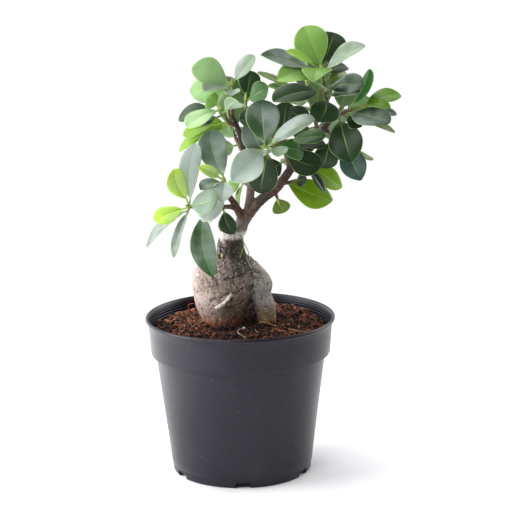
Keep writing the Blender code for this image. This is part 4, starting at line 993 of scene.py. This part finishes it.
def bark_finish():
    """Matt bark that takes its tone from the skin and splits it into upright plates with hair cracks.

    The tone's alpha is the share of pale, weathered flecks: full on the root, slight on the branches.
    The attribute `worn` is the share of cracks: full on the neck and the lobe, slight on the belly.
    """
    finish, tree, shader, where = start_finish("ficus_bark")
    tone = node(tree, "ShaderNodeAttribute", attribute_name="bark")
    worn = node(tree, "ShaderNodeAttribute", attribute_name="worn").outputs["Fac"]
    upright = node(tree, "ShaderNodeMapping", (("Vector", where), ("Scale", (1.0, 1.0, 0.38)))).outputs[0]
    streak = grain(tree, upright, 700.0, 5.0, 0.72)
    streaked = times(tree, ramp(tree, streak, 0.47, 0.35), times(tree, worn, 0.5))
    base = blend_colour(tree, streaked, tone.outputs["Color"], paint(52, 44, 38))
    pale = times(tree, ramp(tree, grain(tree, where, 1000.0, 3.0), 0.54, 0.63), 0.36)
    base = blend_colour(tree, times(tree, pale, tone.outputs["Alpha"]), base, paint(232, 224, 218))
    sway = node(tree, "ShaderNodeTexNoise",
                (("Vector", where), ("Scale", 260.0), ("Detail", 3.0))).outputs["Color"]
    bent = node(tree, "ShaderNodeVectorMath", ((0, sway), (1, (0.006, 0.006, 0.006)), (2, upright)),
                operation="MULTIPLY_ADD").outputs[0]
    plates = node(tree, "ShaderNodeTexVoronoi", (("Vector", bent), ("Scale", 190.0)),
                  feature="DISTANCE_TO_EDGE").outputs["Distance"]
    in_patches = ramp(tree, grain(tree, where, 150.0, 3.0), 0.4, 0.52)
    cracks = times(tree, times(tree, ramp(tree, plates, 0.1, 0.02), in_patches), worn)
    base = blend_colour(tree, times(tree, cracks, 0.8), base, paint(44, 37, 33))
    pits = times(tree, ramp(tree, grain(tree, where, 540.0, 1.0), 0.61, 0.69), 0.8)
    base = blend_colour(tree, pits, base, paint(66, 42, 32))
    tree.links.new(base, shader.inputs["Base Color"])
    shader.inputs["Roughness"].default_value = 0.72
    shader.inputs["Specular IOR Level"].default_value = 0.4
    height = calc(tree, "ADD", streak, times(tree, grain(tree, where, 2000.0, 2.0), 0.5))
    height = calc(tree, "SUBTRACT", height, times(tree, cracks, 0.8))
    roughen(tree, shader, height, 1.0, 0.0009)
    return finish


def point_rows(piece, what):
    """One vector of each point of a piece, as rows."""
    rows = np.empty(len(piece.data.vertices) * 3, np.float32)
    piece.data.vertices.foreach_get(what, rows)
    return rows.reshape(-1, 3).astype(float)


bark = bark_finish()
shapes = [level_rings(BULB), level_rings(LOBE[::-1])]
for line, sides in ((np.column_stack((CUT_ROOT, CUT_ROOT_RADII)), 16), (CALLUS, 40)):
    fine = smooth_path(line, 24)
    shapes.append(tubes(fine[None, :, :3], fine[None, :, 3], sides))
for line, first, last in WOOD.values():
    fine = smooth_path(line, WOOD_ROWS)
    shapes.append(tubes(fine[None], np.linspace(first, last, WOOD_ROWS)[None], WOOD_SIDES))
for _, line, spur, thick, _ in STEMS.values():
    fine = evenly(smooth_path(line, PATH_ROWS), 0.0, spur - 0.2, SPUR_ROWS)
    shapes.append(tubes(fine[None], np.linspace(1.25, 1.0, SPUR_ROWS)[None] * thick[0], 16))
trunk = even_skin("ficus_trunk", shapes)
spot = point_rows(trunk, "co") / MM
normal = point_rows(trunk, "normal")
count = len(spot)
x, y, z = spot.T

root = 1 - ease(z, 140.0, 146.0)
neck = ease(z, 130.0, 139.0) * (1 - ease(z, 148.0, 151.0))
wood = ease(z, 153.5, 158.0)
squeezed = spot * (1.0, 1.0, 0.3)
furrows = cloud(squeezed, 1.5, 21) + 0.6 * cloud(squeezed, 0.8, 22)
lumps = cloud(spot, 9.0, 23) + 0.5 * cloud(spot, 4.0, 24)
wrinkle = cloud(spot * (0.35, 0.35, 1.0), 1.9, 25)
shoulder = ease(z, 119.0, 130.0) * ease(x, -19.0, -14.0) * ease(-x, -10.0, -5.0)
worn = 0.22 + 0.78 * np.maximum(shoulder, 0.75 * np.exp(-((x - 7.6) / 3.0) ** 2))
worn = np.maximum(worn, 0.7 * ease(y, 6.0, 14.0)) * (1 - 0.6 * ease(z, 149.0, 152.0))
off_lobe = 1 - ease(x, 5.0, 7.5)
split = ease(np.abs(cloud(squeezed, 2.6, 38) + 0.3 * cloud(squeezed, 1.1, 39)), 0.1, 0.02)
split *= ease(cloud(spot, 7.0, 40) + 0.5 * worn, 0.1, 0.4) * root * worn
push = root * (0.35 * lumps + 0.16 * furrows + 0.12 * wrinkle) - 0.3 * split
push += neck * (0.55 * furrows + 0.6 * cloud(squeezed, 2.2, 26) + 0.35 * cloud(spot, 1.1, 29))
front = ease(-y, -2.0, 4.0)
crease_shade = np.zeros(count)
wander = np.column_stack((x, z)) + 0.45 * np.column_stack((cloud(spot, 1.8, 35), cloud(spot, 1.8, 36)))
broken = 0.72 + 0.4 * cloud(spot, 2.2, 37)
for line, depth, width in CREASES:
    near = np.exp(-(from_line(wander, line) / width) ** 2) * front * root * broken
    push -= depth * near
    crease_shade = np.maximum(crease_shade, near * min(1.0, depth))
behind = ease(y, 0.0, 5.0) * root
folds = ease(np.abs(np.sin(z * 0.55 + 1.7 * cloud(spot, 12.0, 27))), 0.22, 0.0) * behind
push -= 0.5 * folds
crease_shade = np.maximum(crease_shade, 0.6 * folds)
near_graft = ease(z, GRAFT[0], GRAFT[0] + 2) * (1 - ease(z + 0.25 * x, GRAFT[1] - 1, GRAFT[1] + 1.5))
push += near_graft * 0.35 * lumps
scars = ease(np.abs(np.sin(z * 0.62 + 0.25 * x)), 0.2, 0.0) * wood
push += 0.22 * scars + wood * (0.1 * furrows + 0.08 * cloud(spot, 1.2, 28))
spot = spot + normal * push[:, None]
trunk.data.vertices.foreach_set("co", (spot * MM).astype(np.float32).ravel())


mottle = cloud(spot, 3.2, 31)
fine = cloud(spot, 1.0, 32)
patchy = fine + 0.5 * mottle
low = 1 - ease(z, 149.0, 151.0)
dark_neck = ease(z + 3.5 * mottle, 134.5, 141.0) * low * off_lobe
# Painted shade in the crevice between the bulb and the leg, low down.
cleft_shade = np.exp(-((x - 8.4) / 2.6) ** 2) * (1 - ease(z, 106.0, 113.0))
blotch = ease(cloud(spot, 2.4, 34) + 0.5 * fine, -0.1, 0.3)
at_seam = np.exp(-((x - 9.6) / 4.2) ** 2) * ease(z, 111.0, 117.0)
at_seam = at_seam * (1 - ease(z, 127.0, 132.0)) * ease(x, 4.0, 7.0)
drip = np.exp(-((x + 10.8) / 1.8) ** 2) * ease(z, 138.0, 142.0) * low * ease(fine + mottle, -0.3, 0.1)
from_cut = np.linalg.norm(spot[:, None] - smooth_path(CUT_ROOT, 30)[None, 8:], axis=2).min(1)
ring = np.exp(-((z - 158.5 + 0.15 * (x - 2)) / 0.5) ** 2) * wood
tint = np.tile(bare(*BARK["rose"]), (count, 1))
for tone_name, share in (
    # The bark's own silver mottles, and the whole left side paler by painted light from the left.
    ("silver_and_lit", ease(-x, 2.0, 20.0) * 0.75 + 0.4 * ease(mottle, 0.1, 0.7)),
    ("khaki", 0.6 * ease(cloud(spot, 11.0, 33), 0.1, 0.6) * root),
    ("khaki", 0.85 * np.exp(-((x + 3.0) ** 2 / 90.0 + (z - 108.0) ** 2 / 90.0)) * root),
    ("lobe", 0.8 * ease(x, 6.0, 9.5) * root),
    # The neck's own black, deepened in the furrows' valleys by painted shade.
    ("char_and_shade", dark_neck * (0.84 + 0.38 * fine - 0.3 * furrows)),
    ("char_and_shade", 0.85 * cleft_shade),
    ("moss", 0.75 * ease(z + 4.0 * mottle, 127.0, 133.0) * low * ease(x, -9.0, -1.0) * off_lobe),
    ("char_and_shade", 0.7 * ease(patchy, 0.2, 0.6) * ease(z, 124.0, 130.0) * low * ease(x, -10.0, -4.0) * off_lobe),
    ("clay", 0.6 * (1 - ease(z + 3.0 * mottle, 98.0, 114.0)) * root),
    ("russet", 0.7 * np.exp(-((x + 8.3) ** 2 + (z - 147.6) ** 2) / 8.0)),
    ("char_and_shade", 0.6 * ease(patchy, 0.55, 0.95) * root * worn),
    ("char_and_shade", 0.9 * blotch * at_seam * root),
    ("callus", 0.8 * drip),
    # Painted shade in the splits of the bark.
    ("char_and_shade", 0.8 * split),
    ("stain", 0.9 * (1 - ease(z + 1.6 * mottle, 97.0, 103.0))),
    ("olive", 0.75 * (1 - ease(z + 1.5 * mottle, 100.0, 111.0)) * ease(x, 9.0, 13.0)),
    ("foot", 0.8 * (1 - ease(z + 1.2 * mottle, 94.0, 98.0))),
    ("straw", 0.85 * (1 - ease(from_cut, 1.8, 2.3))),
    ("callus", near_graft * (0.9 - 0.3 * ease(fine, 0.4, 0.8))),
    ("stem", wood * 0.95),
    ("char_and_shade", 0.7 * ring),
    ("russet", wood * ease(z + mottle, 161.0, 164.5) * (1 - 0.75 * ease(z, 169.0, 172.5))
     * (0.9 + 0.1 * fine)),
    ("russet", wood * ease(-x + 0.4 * mottle, -1.5, 0.8) * ease(z, 166.0, 169.0)
     * (1 - ease(z, 182.0, 186.0))),
    ("ash", wood * ease(z, 167.5, 171.0) * (1 - ease(x, 9.3, 10.6)) * ease(x, 1.5, 3.0) * 0.85
     * (1 - ease(z, 183.0, 187.0))),
    ("plum", wood * ease(x + 0.5 * mottle, 9.4, 12.0) * ease(z, 165.0, 169.0) * 0.92),
    ("plum", wood * ease(z, 184.0, 188.0) * 0.9),
    ("russet", 0.75 * np.exp(-((x - 24.0) ** 2 + (z - 181.0) ** 2) / 30.0) * wood),
    ("char_and_shade", 0.95 * crease_shade),
    ("char_and_shade", 0.55 * scars),
):
    tint = tint + (bare(*BARK[tone_name]) - tint) * np.clip(share, 0, 1)[:, None]
# Brightness varies at random and with the furrows, darker in their sunk valleys, partly painted shade.
tint *= (1 + 0.2 * fine + 0.12 * furrows)[:, None]
flecked = 1 - 0.85 * ease(z, 158.0, 166.0) - 0.7 * dark_neck
colour_points(trunk, "bark", np.clip(np.column_stack((tint, flecked)), 0, 1))
layer = trunk.data.attributes.new("worn", "FLOAT", "POINT")
layer.data.foreach_set("value", np.clip(worn, 0, 1).astype(np.float32))
trunk.data.shade_smooth()
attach(trunk, "root")
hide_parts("trunk")


# Fine aerial roots hang from the graft down over the right lobe, with one green tendril, and a
# small yellow bud breaks from the bark at the left of the neck.
STRINGS = {
    "outer": (((1.6, 2, 149.6), (3.0, 2, 146.4), (5.7, 2, 140.5), (6.6, 1.6, 135.2), (11.0, 1.0, 132.7),
               (14.8, 2.6, 129.7)), 0.34, (206, 198, 190)),
    "inner": (((1.8, 0.5, 148.0), (3.6, -0.6, 142.0), (5.4, -2.4, 136.0), (7.6, -4.0, 131.0)),
              0.3, (176, 166, 156)),
    "across": (((4.6, -6.0, 129.0), (7.8, -4.6, 129.6), (11.9, -2.2, 129.4), (16.4, -0.4, 126.8)),
               0.42, (132, 120, 108)),
    "tendril": (((0.6, -1.8, 151.6), (2.8, -3.2, 147.2), (1.8, -5.0, 142.2), (0.6, -6.6, 138.8)),
                0.4, (122, 140, 56)),
}
STRING_ROWS = 36
NECK_BUD = (-10.5, -6.4, 140.2)

for string_name, (course, thick, colour) in STRINGS.items():
    path = smooth_path(course, STRING_ROWS)
    taper = thick * np.linspace(1.0, 0.7, STRING_ROWS)
    string = skin("aerial_root_" + string_name, *tubes(path[None], taper[None], 8), bark)
    colour_points(string, "bark", bare(*colour))
    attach(string, "root")

drop = smooth_path(((0, 0, -1.6), (0, 0, 0), (0.3, -0.4, 1.8)), 9) + NECK_BUD
bud_width = 0.9 * np.array([0.5, 0.8, 1.0, 1.0, 0.95, 0.8, 0.6, 0.38, 0.12])
neck_bud = skin("neck_bud", *tubes(drop[None], bud_width[None], 10), bark)
colour_points(neck_bud, "bark", bare(186, 154, 98))
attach(neck_bud, "root")
